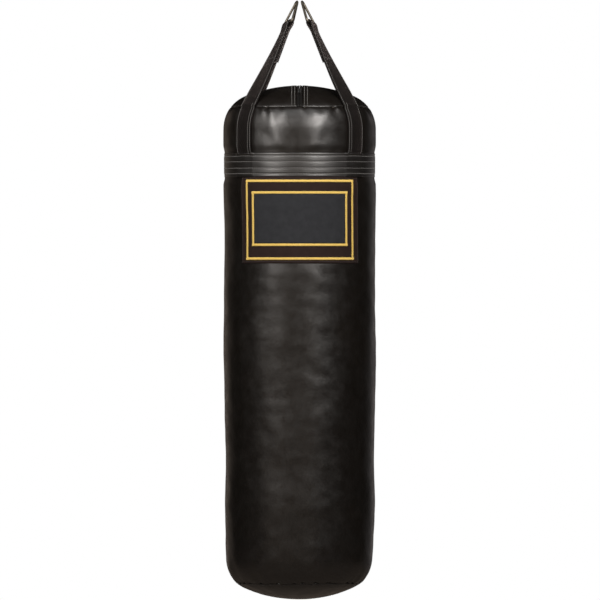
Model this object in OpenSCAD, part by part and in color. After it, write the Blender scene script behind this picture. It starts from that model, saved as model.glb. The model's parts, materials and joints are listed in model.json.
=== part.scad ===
// Hanging heavy bag: a stuffed cover with a sewn belt, four webbing straps, four delta rings,
// a zipped top and a sewn label patch with two plain frames.
// The origin is the hang point, where one hook bears under the tops of the four rings.
// +Z is up, the label faces -Y, +X is to the right of someone facing the label. Millimetres.

/* [Bag body] */
// Diameter of the side wall under the shoulder
bag_d = 332; // [300:1:380]
// Diameter of the side wall above the base
base_d = 320; // [290:1:370]
// Height of the stuffed body from base to crown
bag_h = 1120; // [800:10:1500]
// Radius of the domed crown
crown_r = 318; // [270:1:420]
// Radius of the shoulder between crown and side wall
shoulder_r = 78; // [64:1:95]
// Radius of the domed base
base_crown_r = 290; // [240:1:400]
// Radius of the turn between side wall and base
base_turn_r = 70; // [55:1:95]
// Thickness of the cover
cover_t = 2; // [1.2:0.1:3.5]
// Angle up the shoulder where the top panels are sewn in
top_seam_a = 37; // [28:1:48]
// Angle down the base turn where the base panel is sewn in
base_seam_a = 50; // [35:1:60]
// Width of the sewing gap between two panels
seam_gap = 0.4; // [0.2:0.1:1]

/* [Belt] */
// Drop from the crown to the top edge of the belt
belt_drop = 148; // [130:1:220]
// Width of the belt
belt_w = 52; // [40:1:80]
// Thickness of the belt over the strap ends
belt_web_t = 1.2; // [0.8:0.1:3]
// Depth that the belt draws the cover in
belt_sink = 5.6; // [3:0.1:9]
// Length of the drawn-in cover above and below the belt
cinch_l = 16; // [8:1:24]

/* [Straps] */
// Width of the strap webbing
strap_w = 44; // [36:1:50]
// Thickness of one layer of webbing
strap_t = 3; // [2:0.1:4]
// Length of the strap end that is folded back and sewn down
strap_tail = 96; // [60:1:120]
// Length of each strap tucked under the belt
strap_tuck = 42; // [25:1:46]
// Angle of the two front straps from the front
front_strap_a = 47; // [40:0.5:58]
// Angle of the back left strap from the back
back_left_strap_a = 44; // [38:0.5:58]
// Angle of the back right strap from the back
back_right_strap_a = 47; // [38:0.5:58]
// Twist of each strap between shoulder and ring
strap_twist = 27; // [0:1:36]
// Bow of each strap, as a share of the turn from shoulder to hook
strap_bow = 0.4; // [0:0.1:1]

/* [Rings] */
// Height of the hang point above the crown
hang_h = 180; // [150:1:260]
// Diameter of the ring wire
wire_d = 5; // [4:0.1:7]
// Height of a ring from its bar to its top, on the wire's middle
ring_h = 54; // [45:1:70]
// Inner radius at the top of a ring
ring_top_r = 4.5; // [3.5:0.1:6]
// Inner radius at the two lower corners of a ring
ring_corner_r = 2.2; // [1.5:0.1:5]
// Space left between neighbouring rings
ring_space = 2; // [1.5:0.1:12]

/* [Label patch] */
// Width of the patch along the wall
label_w = 288; // [240:1:320]
// Height of the patch below the belt
label_h = 188; // [160:1:240]
// Thickness of the patch
label_t = 1; // [0.6:0.1:2]
// Width of the outer embroidered frame
frame_w = 256; // [200:1:300]
// Height of the outer embroidered frame
frame_h = 174; // [120:1:220]
// Gap between the belt and the outer frame
frame_drop = 6.5; // [1:0.5:12]
// Space between the outer frame and the inner frame, sideways
frame_space_w = 17; // [10:1:30]
// Space between the outer frame and the inner frame, up and down
frame_space_h = 27.5; // [10:0.5:40]
// Rise of the inner frame above the middle of the outer frame
inner_rise = 2.5; // [0:0.5:6]
// Width of an embroidered line
line_w = 5.5; // [3:0.1:8]
// Height of the embroidery above the patch
thread_t = 0.7; // [0.4:0.1:1.5]

/* [Zip] */
// Angle from the middle of the crown to each end of the zip chain
zip_a = 19; // [10:0.5:20]
// Width of the slot between the top panels
slot_w = 13; // [11:0.5:24]
// Width of one zip tape from the middle
tape_w = 15; // [13:0.5:22]
// Thickness of a zip tape
tape_t = 0.8; // [0.5:0.1:1.5]
// Width of one coil row
coil_w = 2.6; // [2:0.1:4]
// Height of a coil row
coil_h = 2.4; // [1.6:0.1:3.5]
// Gap between the two coil rows
coil_gap = 1.8; // [1.6:0.1:3]
// Length of the slider
slider_l = 18; // [14:0.5:26]
// Width of the slider
slider_w = 12; // [10.5:0.1:12.4]
// Thickness of each slider plate
plate_t = 1.6; // [1:0.1:2.5]
// Length of the pull tab from its pin
pull_l = 32; // [20:1:45]
// Width of the pull tab
pull_w = 9; // [8:0.5:14]
// Thickness of the pull tab
pull_t = 1.6; // [1:0.1:2.4]
// Diameter of the pin of the pull tab
pin_d = 1.8; // [1.2:0.1:2.4]

/* [Filling] */
// Thickness of the lining
lining_t = 1.2; // [0.6:0.1:3]
// Thickness of the foam wrap inside the wall
foam_t = 12; // [6:1:30]

/* [Clearances] */
// Space between neighbouring layers
layer_gap = 0.35; // [0.2:0.05:0.6]
// Space between pieces that are sewn down flat
sewn_gap = 0.1; // [0.05:0.05:0.3]
// Space round a bar or pin in its loop
turn_gap = 0.4; // [0.2:0.05:0.8]
// Space round the slider on the chain
slide_gap = 0.4; // [0.3:0.05:0.8]
// Space between a strap edge and a ring corner
edge_gap = 0.8; // [0.4:0.1:2]

/* [Hidden] */
$fn = 64;
deg = 180 / PI;
arc_n = 12;
strap_n = 14;

// Body profile: crown arc, shoulder arc, wall, base turn and base arc
bag_r = bag_d / 2;
base_r = base_d / 2;
crown_z = -hang_h - crown_r;
shoulder_c = bag_r - shoulder_r;
shoulder_z = crown_z + sqrt(pow(crown_r - shoulder_r, 2) - pow(shoulder_c, 2));
crown_a = atan2(shoulder_z - crown_z, shoulder_c);
base_crown_z = -hang_h - bag_h + base_crown_r;
base_c = base_r - base_turn_r;
base_turn_z = base_crown_z - sqrt(pow(base_crown_r - base_turn_r, 2) - pow(base_c, 2));
base_a = atan2(base_crown_z - base_turn_z, base_c);
top_seam_half = seam_gap / 2 / shoulder_r * deg;
base_seam_half = seam_gap / 2 / base_turn_r * deg;
belt_top = -hang_h - belt_drop;
belt_bottom = belt_top - belt_w;
cinch_steps = [1, 0.75, 0.5, 0.25, 0];
wall_stations = concat([for (s = cinch_steps) belt_top + cinch_l * s],
    [for (s = cinch_steps) belt_bottom - cinch_l * (1 - s)]);
reach = 2 * bag_r;

// Depths below the outside of the cover
lining_d = cover_t + layer_gap;
lining_in_d = lining_d + lining_t;
foam_d = lining_in_d + layer_gap;
foam_in_d = foam_d + foam_t;
fill_d = foam_in_d + layer_gap;
tape_d = cover_t + layer_gap;
tape_in_d = tape_d + tape_t;
coil_base_d = tape_d - sewn_gap;
coil_top_d = coil_base_d - coil_h;
slider_top_d = coil_top_d - slide_gap;
slider_low_d = tape_in_d + slide_gap;
slider_in_d = slider_low_d + plate_t;
fill_crown_d = max(slider_in_d + slide_gap, lining_in_d + layer_gap);

function ease(t) = let (c = min(max(t, 0), 1)) c * c * (3 - 2 * c);
function unit(v) = v / norm(v);
function reversed(v) = [for (i = [len(v) - 1 : -1 : 0]) v[i]];
function rest_of(v) = [for (i = [1 : len(v) - 1]) v[i]];
function arc(cr, cz, r, a0, a1) = [for (i = [0 : arc_n])
    let (a = a0 + (a1 - a0) * i / arc_n) [cr + r * cos(a), cz + r * sin(a)]];
function crown_arc(d) = arc(0, crown_z, crown_r - d, 90, crown_a);
function shoulder_arc(d, a0, a1) = arc(shoulder_c, shoulder_z, shoulder_r - d, a0, a1);
function base_turn(d, a0, a1) = arc(base_c, base_turn_z, base_turn_r - d, -a0, -a1);
function base_arc(d) = arc(0, base_crown_z, base_crown_r - d, -base_a, -90);

// Radius of the cover at a height on the wall, with the belt's draw-in
function draw_in(z) = belt_sink * (1 - ease(max(z - belt_top, belt_bottom - z) / cinch_l));
function wall_r(z) = bag_r + (base_r - bag_r) * (shoulder_z - z) / (shoulder_z - base_turn_z)
    - draw_in(z);
function wall_between(d, z0, z1) = [for (z = wall_stations) if (z < z0 && z > z1) [wall_r(z) - d, z]];
function wall_band(d, z0, z1) =
    concat([[wall_r(z0) - d, z0]], wall_between(d, z0, z1), [[wall_r(z1) - d, z1]]);
function wall_line(d) = wall_between(d, shoulder_z, base_turn_z);
function top_line(d) = concat(crown_arc(d),
    rest_of(shoulder_arc(d, crown_a, top_seam_a + top_seam_half)));
function side_line(d) = concat(shoulder_arc(d, top_seam_a - top_seam_half, 0), wall_line(d),
    base_turn(d, 0, base_seam_a - base_seam_half));
function base_line(d) = concat(base_turn(d, base_seam_a + base_seam_half, base_a), rest_of(base_arc(d)));
function whole_line(d) = concat(crown_arc(d), rest_of(shoulder_arc(d, crown_a, 0)), wall_line(d),
    base_turn(d, 0, base_a), rest_of(base_arc(d)));

module revolved(outer, inner) {
    rotate_extrude() polygon(concat(outer, reversed(inner)));
}

// Block from x0 to x1, as wide and deep as the bag, above z0
module slab(x0, x1, z0) {
    translate([x0, -reach, z0]) cube([x1 - x0, 2 * reach, reach]);
}

// Cover panels
module side_cover() {
    color("#171412") revolved(side_line(0), side_line(cover_t));
}

module top_half(side) {
    color("#1d1a17") intersection() {
        revolved(top_line(0), top_line(cover_t));
        mirror([side < 0 ? 1 : 0, 0, 0]) slab(slot_w / 2, reach, shoulder_z);
    }
}

module bottom_panel() {
    color("#171412") revolved(base_line(0), base_line(cover_t));
}

// Straps: each quadrant is [side, depth, angle from front or back]
FRONT_LEFT = [-1, -1, front_strap_a];
FRONT_RIGHT = [1, -1, front_strap_a];
BACK_LEFT = [-1, 1, back_left_strap_a];
BACK_RIGHT = [1, 1, back_right_strap_a];
QUADRANTS = [FRONT_LEFT, FRONT_RIGHT, BACK_LEFT, BACK_RIGHT];

module mirrored_to(q) {
    mirror([q[0] < 0 ? 1 : 0, 0, 0]) mirror([0, q[1] < 0 ? 1 : 0, 0]) children();
}

seam_out_r = shoulder_r + layer_gap;
anchor_top_a = top_seam_a + 2 * strap_t / shoulder_r * deg;
anchor_low_z = belt_top - min(strap_tuck, belt_w);

function anchor_line(d) = concat(shoulder_arc(d, anchor_top_a, 0),
    wall_between(d, shoulder_z, anchor_low_z), [[wall_r(anchor_low_z) - d, anchor_low_z]]);

// Webbing over the shoulder, grown by a space on every side for its pocket in the belt
module anchor_band(q, space) {
    mirrored_to(q) rotate([0, 0, -q[2]]) intersection() {
        revolved(anchor_line(-layer_gap - strap_t - space), anchor_line(-layer_gap + space));
        translate([-strap_w / 2 - space, 0, anchor_low_z]) cube([strap_w + 2 * space, reach, reach]);
    }
}

module strap_anchor(q) {
    color("#201d1b") difference() {
        anchor_band(q, 0);
        mirrored_to(q) rotate([0, 0, -q[2]])
            translate([0, shoulder_c + seam_out_r * cos(top_seam_a),
                shoulder_z + seam_out_r * sin(top_seam_a)])
            rotate([top_seam_a, 0, 0])
            translate([-strap_w, -4 * strap_t, -sewn_gap]) cube([2 * strap_w, 8 * strap_t, 8 * strap_t]);
    }
}

// Belt: one band in the drawn-in groove, with a pocket for each strap end
belt_t = strap_t + sewn_gap + belt_web_t;
module belt() {
    color("#1b1816") difference() {
        revolved(wall_band(-layer_gap - belt_t, belt_top, belt_bottom),
            wall_band(-layer_gap, belt_top, belt_bottom));
        for (q = QUADRANTS) anchor_band(q, sewn_gap);
    }
}

// Ring outline: a bar, two corners, two legs and a rounded top, tangent to each other
bar_half = strap_w / 2 + edge_gap;
corner_r = ring_corner_r + wire_d / 2;
top_r = ring_top_r + wire_d / 2;
bar_reach = bar_half + corner_r + wire_d / 2;
leg_rise = ring_h - top_r - corner_r;
leg_span = norm([bar_half, leg_rise]);
leg_a = atan2(bar_half, leg_rise) + asin((corner_r - top_r) / leg_span);
leg_l = sqrt(pow(leg_span, 2) - pow(corner_r - top_r, 2));

// Ring tops stand just far enough from the middle to leave the ring space between neighbours
lean_kept = 0.75;
strap_angles = [for (q = QUADRANTS) q[2]];
ring_lean = lean_kept * min([for (a = strap_angles) strap_start(a)[1] / norm(strap_start(a))]);
ring_top_x = (ring_space + wire_d) / 2 + top_r * cos(min(strap_angles) + strap_twist);
ring_top_y = ring_space / 2 + max(top_r + wire_d / 2, bar_reach - ring_lean * ring_h);
ring_top = [ring_top_x, ring_top_y, wire_d / 2];

// Path of a free strap, worked out for the quadrant where x and y are positive
loop_bore_r = wire_d / 2 + turn_gap;
loop_r = loop_bore_r + strap_t;
loop_core = 0.92;
function out_from(a) = [sin(a), cos(a), 0];
function along(a) = [cos(a), -sin(a), 0];
function strap_start(a) = out_from(a) * (shoulder_c + seam_out_r * cos(top_seam_a))
    + [0, 0, shoulder_z + seam_out_r * sin(top_seam_a)];
function strap_rise(a) = [0, 0, cos(top_seam_a)] - sin(top_seam_a) * out_from(a);
function strap_face(a) = [0, 0, sin(top_seam_a)] + cos(top_seam_a) * out_from(a);
function chord(a) = unit(ring_top - strap_start(a));
function pull_dir(a) = unit(chord(a) + strap_bow * (chord(a) - strap_rise(a)));
function bar_mid(a) = ring_top - ring_h * pull_dir(a);
function strap_len(a) = norm(bar_mid(a) - strap_start(a));
function path_ends(a) = let (p = strap_start(a), b = bar_mid(a), k = strap_len(a) / 3)
    [p, p + k * strap_rise(a), b - k * pull_dir(a), b];
function path_at(v, s) = pow(1 - s, 3) * v[0] + 3 * s * pow(1 - s, 2) * v[1]
    + 3 * s * s * (1 - s) * v[2] + pow(s, 3) * v[3];
function path_dir(v, s) = unit(pow(1 - s, 2) * (v[1] - v[0]) + 2 * s * (1 - s) * (v[2] - v[1])
    + s * s * (v[3] - v[2]));
// Width direction and outward face of the strap, turned by the twist on the way up
function width_dir(a, dir, turn) = let (w = unit(along(a) - (along(a) * dir) * dir))
    cos(turn) * w - sin(turn) * cross(dir, w);
function section(a, v, s, outer, inner) = let (dir = path_dir(v, s),
    w = width_dir(a, dir, strap_twist * ease(s)), n = cross(dir, w), p = path_at(v, s), h = strap_w / 2)
    [p + outer * n - h * w, p + outer * n + h * w, p - inner * n + h * w, p - inner * n - h * w];

flare_l = 4 * strap_t + 2 * wire_d;
function flare(s, len) = (loop_core * loop_r - strap_t) * ease(1 - (1 - s) * len / flare_l);
function tail_s(len) = 1 - min(strap_tail, 0.8 * len) / len;
function strap_steps(len) = let (st = tail_s(len), n1 = ceil(strap_n * st), n2 = strap_n)
    concat([for (i = [0 : n1]) [st * i / n1, 0]], [for (i = [0 : n2]) [st + (1 - st) * i / n2, 1]]);
function strap_sections(a) = let (v = path_ends(a), len = strap_len(a))
    [for (p = strap_steps(len)) let (f = strap_t + flare(p[0], len))
        section(a, v, min(p[0] + p[1] * sewn_gap / len, 1), f, p[1] * f)];

function tube_faces(n) = concat([[0, 2, 1], [0, 3, 2]],
    [for (i = [0 : n - 2]) for (j = [0 : 3]) let (a = 4 * i + j, b = 4 * i + (j + 1) % 4)
        each [[a, b, a + 4], [b, b + 4, a + 4]]],
    [[4 * n - 4, 4 * n - 3, 4 * n - 2], [4 * n - 4, 4 * n - 2, 4 * n - 1]]);

// Frame of a ring: x along its bar, y from the bar to the top, z through the eye
module at_bar(a) {
    u = pull_dir(a);
    w = width_dir(a, u, strap_twist);
    n = cross(w, u);
    b = bar_mid(a);
    multmatrix([for (i = [0 : 2]) [w[i], u[i], n[i], b[i]]]) children();
}

module cross_bar(r, l) {
    rotate([0, 90, 0]) cylinder(r = r, h = l, center = true);
}

module strap(q) {
    sections = strap_sections(q[2]);
    color("#262220") mirrored_to(q) difference() {
        union() {
            polyhedron([for (s = sections) each s], tube_faces(len(sections)));
            at_bar(q[2]) cross_bar(loop_r, strap_w - 2 * sewn_gap);
        }
        at_bar(q[2]) cross_bar(loop_bore_r, 2 * strap_w);
    }
}

// Ring of bent wire: its bends are a hair thicker than the straight wire and take in its ends
bend_d = wire_d + wire_d / 250;
bend_lap = wire_d / 30;

module wire_bend(r, a0, a1) {
    rotate([0, 0, a0]) rotate_extrude(angle = a1 - a0) translate([r, 0]) circle(d = bend_d);
}

module ring_side() {
    translate([bar_half, corner_r, 0]) {
        wire_bend(corner_r, -90, leg_a);
        rotate([0, 0, leg_a]) translate([corner_r, -bend_lap, 0]) rotate([-90, 0, 0])
            cylinder(d = wire_d, h = leg_l + 2 * bend_lap);
    }
}

module ring(q) {
    color("#5d5a50") mirrored_to(q) at_bar(q[2]) union() {
        cross_bar(wire_d / 2, 2 * (bar_half + bend_lap));
        ring_side();
        mirror([1, 0, 0]) ring_side();
        translate([0, ring_h - top_r, 0]) wire_bend(top_r, leg_a, 180 - leg_a);
    }
}

// Label patch on the front of the wall, below the belt
module front_band(w, z0, z1, d_out, d_in) {
    half_a = w / 2 / bag_r * deg;
    rotate([0, 0, -90 - half_a]) rotate_extrude(angle = 2 * half_a)
        polygon(concat(wall_band(d_out, z0, z1), reversed(wall_band(d_in, z0, z1))));
}

label_top = belt_bottom - sewn_gap;
frame_top = belt_bottom - frame_drop;
frame_bottom = frame_top - frame_h;
label_d = -layer_gap - label_t;
thread_d = label_d - layer_gap;
inner_w = frame_w - 2 * frame_space_w;
inner_top = frame_top - frame_space_h + inner_rise;
inner_bottom = frame_bottom + frame_space_h + inner_rise;

module label_ground() {
    color("#302424") front_band(label_w, label_top, label_top - label_h, label_d, -layer_gap);
}

module thread_frame(w, z0, z1) {
    color("#dcb44c") difference() {
        front_band(w, z0, z1, thread_d - thread_t, thread_d);
        front_band(w - 2 * line_w, z0 - line_w, z1 + line_w, thread_d - 2 * thread_t, thread_d + thread_t);
    }
}

module label_panel() {
    w = inner_w - 2 * line_w - 2 * seam_gap;
    color("#343436")
        front_band(w, inner_top - line_w - seam_gap, inner_bottom + line_w + seam_gap,
            thread_d - thread_t / 2, thread_d);
}

// Zip over the middle of the crown, from front to back
module on_crown(a) {
    translate([0, 0, crown_z]) rotate([-a, 0, 0]) translate([0, 0, crown_r]) children();
}

module zip_tape(side) {
    color("#141312") intersection() {
        revolved(top_line(tape_d), top_line(tape_in_d));
        mirror([side < 0 ? 1 : 0, 0, 0]) slab(coil_gap / 2, tape_w, shoulder_z);
    }
}

chain_y = (crown_r - tape_d) * sin(zip_a);
module zip_coil(side) {
    color("#0f0f0f") intersection() {
        revolved(top_line(coil_top_d), top_line(coil_base_d));
        mirror([side < 0 ? 1 : 0, 0, 0]) translate([coil_gap / 2, -chain_y, shoulder_z])
            cube([coil_w, 2 * chain_y, reach]);
    }
}

stop_l = 2 * coil_w;
stop_a = zip_a + (stop_l / 2 + slide_gap) / crown_r * deg;
module stop_block(a, w) {
    on_crown(a) translate([-w / 2, -stop_l / 2, -coil_base_d]) cube([w, stop_l, coil_h]);
}

module zip_stops() {
    color("#3a3a38") {
        stop_block(-stop_a, coil_gap + 2 * coil_w);
        for (side = [-1, 1]) translate([side * (coil_gap + coil_w) / 2, 0, 0]) stop_block(stop_a, coil_w);
    }
}

// Slider at rest by the back stops, with a lug for the pin of the pull tab
slider_a = zip_a - slider_l / 2 / crown_r * deg;
web_t = coil_gap - 2 * slide_gap;
nose = slider_w / 4;
heel_l = 0.75 * pin_d;
pin_up = norm([heel_l, pull_t / 2]) + turn_gap;
pin_rise = plate_t - slider_top_d + pin_up;
lug_w = pull_w / 3;
lug_l = slider_l / 2;
lug_bore_d = pin_d + turn_gap;
lug_h = pin_up + (lug_bore_d + plate_t) / 2;

module slider_plate(z) {
    translate([0, 0, z]) linear_extrude(plate_t) polygon([
        [-slider_w / 2, -slider_l / 2], [slider_w / 2, -slider_l / 2],
        [slider_w / 2, slider_l / 2 - nose], [slider_w / 2 - nose, slider_l / 2],
        [nose - slider_w / 2, slider_l / 2], [-slider_w / 2, slider_l / 2 - nose]]);
}

module zip_slider() {
    color("#8b877c") on_crown(slider_a) difference() {
        union() {
            slider_plate(-slider_top_d);
            slider_plate(-slider_in_d);
            translate([-web_t / 2, -slider_l / 2, -slider_in_d])
                cube([web_t, slider_l / 2, slider_in_d - slider_top_d + plate_t]);
            translate([-lug_w / 2, -lug_l / 2, -slider_top_d]) cube([lug_w, lug_l, plate_t + lug_h]);
        }
        translate([0, 0, pin_rise]) cross_bar(lug_bore_d / 2, 2 * lug_w);
    }
}

// Pull tab: a fork on a pin, leaning down towards the back
pull_lean = 5;
fork_w = lug_w + 2 * turn_gap;
fork_l = lug_l / 2 + pin_d + turn_gap;
module zip_pull() {
    color("#8b877c") on_crown(slider_a) translate([0, 0, pin_rise]) rotate([-pull_lean, 0, 0]) union() {
        cross_bar(pin_d / 2, fork_w + pull_t);
        translate([0, 0, -pull_t / 2]) linear_extrude(pull_t) difference() {
            translate([-pull_w / 2, -heel_l]) square([pull_w, heel_l + pull_l]);
            translate([-fork_w / 2, -2 * heel_l]) square([fork_w, 2 * heel_l + fork_l]);
        }
    }
}

// Inside: a lining that is open along the zip, a foam wrap and the stuffing
lining_slot_z = shoulder_z + (shoulder_r - lining_in_d) * sin(top_seam_a) - seam_gap;
module lining() {
    color("#8c8478") difference() {
        revolved(whole_line(lining_d), whole_line(lining_in_d));
        slab(-tape_w - seam_gap, tape_w + seam_gap, lining_slot_z);
    }
}

module foam_wrap() {
    color("#d8d2bf") revolved(wall_band(foam_d, shoulder_z, base_turn_z),
        wall_band(foam_in_d, shoulder_z, base_turn_z));
}

fill_base_d = lining_in_d + layer_gap;
module fill_core() {
    shelf_a = asin(layer_gap / (shoulder_r - fill_crown_d));
    foot_a = asin(layer_gap / (base_turn_r - fill_base_d));
    color("#6f6b66") rotate_extrude() polygon(concat(
        crown_arc(fill_crown_d), rest_of(shoulder_arc(fill_crown_d, crown_a, shelf_a)),
        [[bag_r - fill_d, shoulder_z + layer_gap]], wall_line(fill_d),
        [[base_r - fill_d, base_turn_z - layer_gap]],
        base_turn(fill_base_d, foot_a, base_a), rest_of(base_arc(fill_base_d))));
}

side_cover();
top_half(-1);  // top_panel_left
top_half(1);  // top_panel_right
bottom_panel();
belt();
strap_anchor(FRONT_LEFT);  // strap_anchor_front_left
strap_anchor(FRONT_RIGHT);  // strap_anchor_front_right
strap_anchor(BACK_LEFT);  // strap_anchor_back_left
strap_anchor(BACK_RIGHT);  // strap_anchor_back_right
strap(FRONT_LEFT);  // strap_front_left
strap(FRONT_RIGHT);  // strap_front_right
strap(BACK_LEFT);  // strap_back_left
strap(BACK_RIGHT);  // strap_back_right
ring(FRONT_LEFT);  // ring_front_left
ring(FRONT_RIGHT);  // ring_front_right
ring(BACK_LEFT);  // ring_back_left
ring(BACK_RIGHT);  // ring_back_right
label_ground();
thread_frame(frame_w, frame_top, frame_bottom);  // label_frame_outer
thread_frame(inner_w, inner_top, inner_bottom);  // label_frame_inner
label_panel();
zip_tape(-1);  // zip_tape_left
zip_tape(1);  // zip_tape_right
zip_coil(-1);  // zip_coil_left
zip_coil(1);  // zip_coil_right
zip_stops();
zip_slider();
zip_pull();
lining();
foam_wrap();
fill_core();
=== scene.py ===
"""Hanging heavy bag: stuffed cover, belt, webbing straps, rings, zip and label."""

import json
import math

import bmesh
import bpy
import numpy as np
from bpy.props import FloatProperty, FloatVectorProperty, IntProperty, PointerProperty
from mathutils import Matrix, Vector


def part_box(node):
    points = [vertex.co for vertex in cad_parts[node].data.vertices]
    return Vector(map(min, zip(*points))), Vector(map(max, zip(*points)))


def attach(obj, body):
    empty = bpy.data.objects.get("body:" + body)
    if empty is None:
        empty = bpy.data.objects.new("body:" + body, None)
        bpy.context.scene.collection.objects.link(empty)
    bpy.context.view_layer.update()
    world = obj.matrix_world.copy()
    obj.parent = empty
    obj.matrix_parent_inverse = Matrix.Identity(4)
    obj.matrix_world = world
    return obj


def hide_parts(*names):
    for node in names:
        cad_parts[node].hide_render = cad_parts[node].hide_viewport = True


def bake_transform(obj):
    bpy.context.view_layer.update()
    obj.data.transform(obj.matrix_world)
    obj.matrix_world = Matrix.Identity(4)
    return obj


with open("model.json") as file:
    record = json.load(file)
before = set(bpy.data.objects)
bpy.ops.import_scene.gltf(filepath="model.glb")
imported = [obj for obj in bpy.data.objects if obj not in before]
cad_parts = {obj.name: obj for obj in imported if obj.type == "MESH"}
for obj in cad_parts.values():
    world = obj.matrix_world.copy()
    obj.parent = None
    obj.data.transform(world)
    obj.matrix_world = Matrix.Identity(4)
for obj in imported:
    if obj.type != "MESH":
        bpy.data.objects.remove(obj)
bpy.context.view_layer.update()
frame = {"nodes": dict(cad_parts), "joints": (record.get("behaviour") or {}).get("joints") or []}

bl_info = {
    "name": "Hanging heavy bag",
    "version": (1, 0, 0),
    "blender": (4, 5, 0),
    "location": "View3D > Sidebar > Heavy bag",
    "description": "Cover, belt, straps, rings, label, zip and filling of a heavy bag",
    "category": "Object",
}

# The four corners, each with its side and depth sign: -X is left, -Y is the front
CORNERS = {
    "front_left": (-1, -1),
    "front_right": (1, -1),
    "back_left": (-1, 1),
    "back_right": (1, 1),
}
JOINTS = {joint["name"]: joint for joint in frame["joints"]}
BAG_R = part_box("side_cover")[1].x
CROWN_MID_Z = JOINTS["zip_slide"]["pos_m"][2]
BASE_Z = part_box("bottom_panel")[0].z
BELT_LOW, BELT_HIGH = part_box("belt")[0].z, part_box("belt")[1].z
LABEL_LOW, LABEL_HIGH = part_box("label_ground")[0].z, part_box("label_ground")[1].z
SLOT_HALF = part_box("top_panel_right")[0].x


def length(name, default, description):
    """A size in metres for the sidebar."""
    return FloatProperty(
        name=name, description=description, default=default, unit="LENGTH", precision=4
    )


def number(name, default, description):
    """A plain number for the sidebar."""
    return FloatProperty(
        name=name, description=description, default=default, precision=3
    )


def angle(name, degrees, description):
    """An angle for the sidebar, held in radians."""
    return FloatProperty(
        name=name,
        description=description,
        default=math.radians(degrees),
        subtype="ANGLE",
    )


def colour(name, default, description):
    """A linear colour for the sidebar."""
    return FloatVectorProperty(
        name=name,
        description=description,
        default=default,
        size=3,
        subtype="COLOR",
        min=0.0,
        max=1.0,
    )


class HeavyBagCover(bpy.types.PropertyGroup):
    """Sizes of the stuffed cover."""

    crown_r: length("Crown radius", 0.318, "Radius of the domed crown")
    shoulder_r: length("Shoulder radius", 0.078, "Radius between crown and wall")
    base_r: length("Base wall radius", 0.160, "Radius of the wall above the base")
    base_crown_r: length("Base radius", 0.290, "Radius of the domed base")
    base_turn_r: length("Base turn radius", 0.070, "Radius between wall and base")
    top_seam: angle("Top seam", 37, "Angle up the shoulder of the top seam")
    base_seam: angle("Base seam", 50, "Angle down the base turn of the base seam")
    cover_t: length("Cover thickness", 0.002, "Thickness of the vinyl cover")
    belt_sink: length("Belt draw-in", 0.0056, "Depth the belt draws the cover in")
    edge_sink: length("Edge draw-in", 0.0022, "Depth of the cover at the belt's edge")
    cinch_l: length("Cinch length", 0.018, "Length of cover drawn in beside the belt")
    tuck_l: length("Tuck length", 0.008, "Length of cover drawn in under the belt")
    lump: length("Lump height", 0.0011, "Height of the soft lumps in the wall")
    dimple: length("Dimple depth", 0.00018, "Depth of the small dimples in the wall")
    gather: length("Gather depth", 0.0030, "Depth of the creases at the seams")
    seam_pull: length("Seam pull", 0.0010, "Depth that a seam pulls the cover in")
    hem: length("Zip hem", 0.0004, "Height of the folded hems beside the zip")
    columns: IntProperty(
        name="Columns", description="Faces round the cover", default=288
    )
    seed: IntProperty(name="Seed", description="Seed of the lumps", default=7)


class HeavyBagBelt(bpy.types.PropertyGroup):
    """Sizes of the belt and of the sewing thread."""

    rise: length("Rise", 0.0046, "Height of the belt over the cover")
    strap_bump: length("Strap bump", 0.0009, "Rise of the belt over a strap end")
    puff: length("Puff", 0.0003, "Swell of the belt between two stitch rows")
    stitch_pitch: length("Stitch pitch", 0.0058, "Length from stitch to stitch")
    stitch_l: length("Stitch length", 0.0052, "Length of one stitch")
    thread_d: length("Thread", 0.0015, "Thickness of the sewing thread")


class HeavyBagStrap(bpy.types.PropertyGroup):
    """Sizes of the webbing straps and the rings."""

    width: length("Width", 0.044, "Width of the webbing")
    thickness: length("Thickness", 0.0028, "Thickness of one layer")
    lift: length("Lift", 0.00045, "Space between strap and cover")
    tuck: length("Tuck", 0.042, "Length tucked under the belt")
    tail: length("Tail", 0.096, "Length folded back at the ring")
    twist: angle("Twist", 27, "Turn between shoulder and ring")
    flare_l: length("Loop mouth", 0.022, "Length over which the two layers part")
    wire_d: length("Wire", 0.0050, "Thickness of the ring wire")
    ring_h: length("Ring height", 0.054, "Height of a ring on the wire's middle")
    bar_half: length("Half bar", 0.0228, "Half the straight length of a ring's bar")
    corner_r: length("Corner radius", 0.00470, "Radius of a ring's lower corners")
    top_r: length("Top radius", 0.00700, "Radius of a ring's top")
    turn_gap: length("Turn gap", 0.0004, "Space between bar and webbing")
    ring_top: FloatVectorProperty(
        name="Ring top",
        description="Middle of the wire at the top of the back right ring",
        default=(0.005779, 0.015758, 0.0025),
        subtype="TRANSLATION",
        precision=4,
    )


class HeavyBagLabel(bpy.types.PropertyGroup):
    """Sizes of the label patch."""

    width: length("Width", 0.288, "Width of the patch along the wall")
    rise: length("Rise", 0.00135, "Height of the patch over the cover")
    frame_w: length("Outer frame", 0.2560, "Width of the outer frame")
    inner_w: length("Inner frame", 0.2220, "Width of the inner frame")
    line_w: length("Line", 0.0055, "Width of an embroidered line")
    strand_pitch: length("Strand pitch", 0.00105, "Length from strand to strand")
    strand_d: length("Strand", 0.0013, "Thickness of an embroidery strand")


class HeavyBagZip(bpy.types.PropertyGroup):
    """Sizes of the zip."""

    tape_w: length("Tape width", 0.015, "Width of one tape from the middle")
    tape_t: length("Tape thickness", 0.0008, "Thickness of a tape")
    coil_pitch: length("Coil pitch", 0.0017, "Length from tooth to tooth")
    coil_w: length("Coil width", 0.0034, "Width of one row of teeth")
    coil_d: length("Coil wire", 0.0013, "Thickness of the coil wire")
    bevel: length("Bevel", 0.00022, "Rounding of the cast metal edges")


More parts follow.
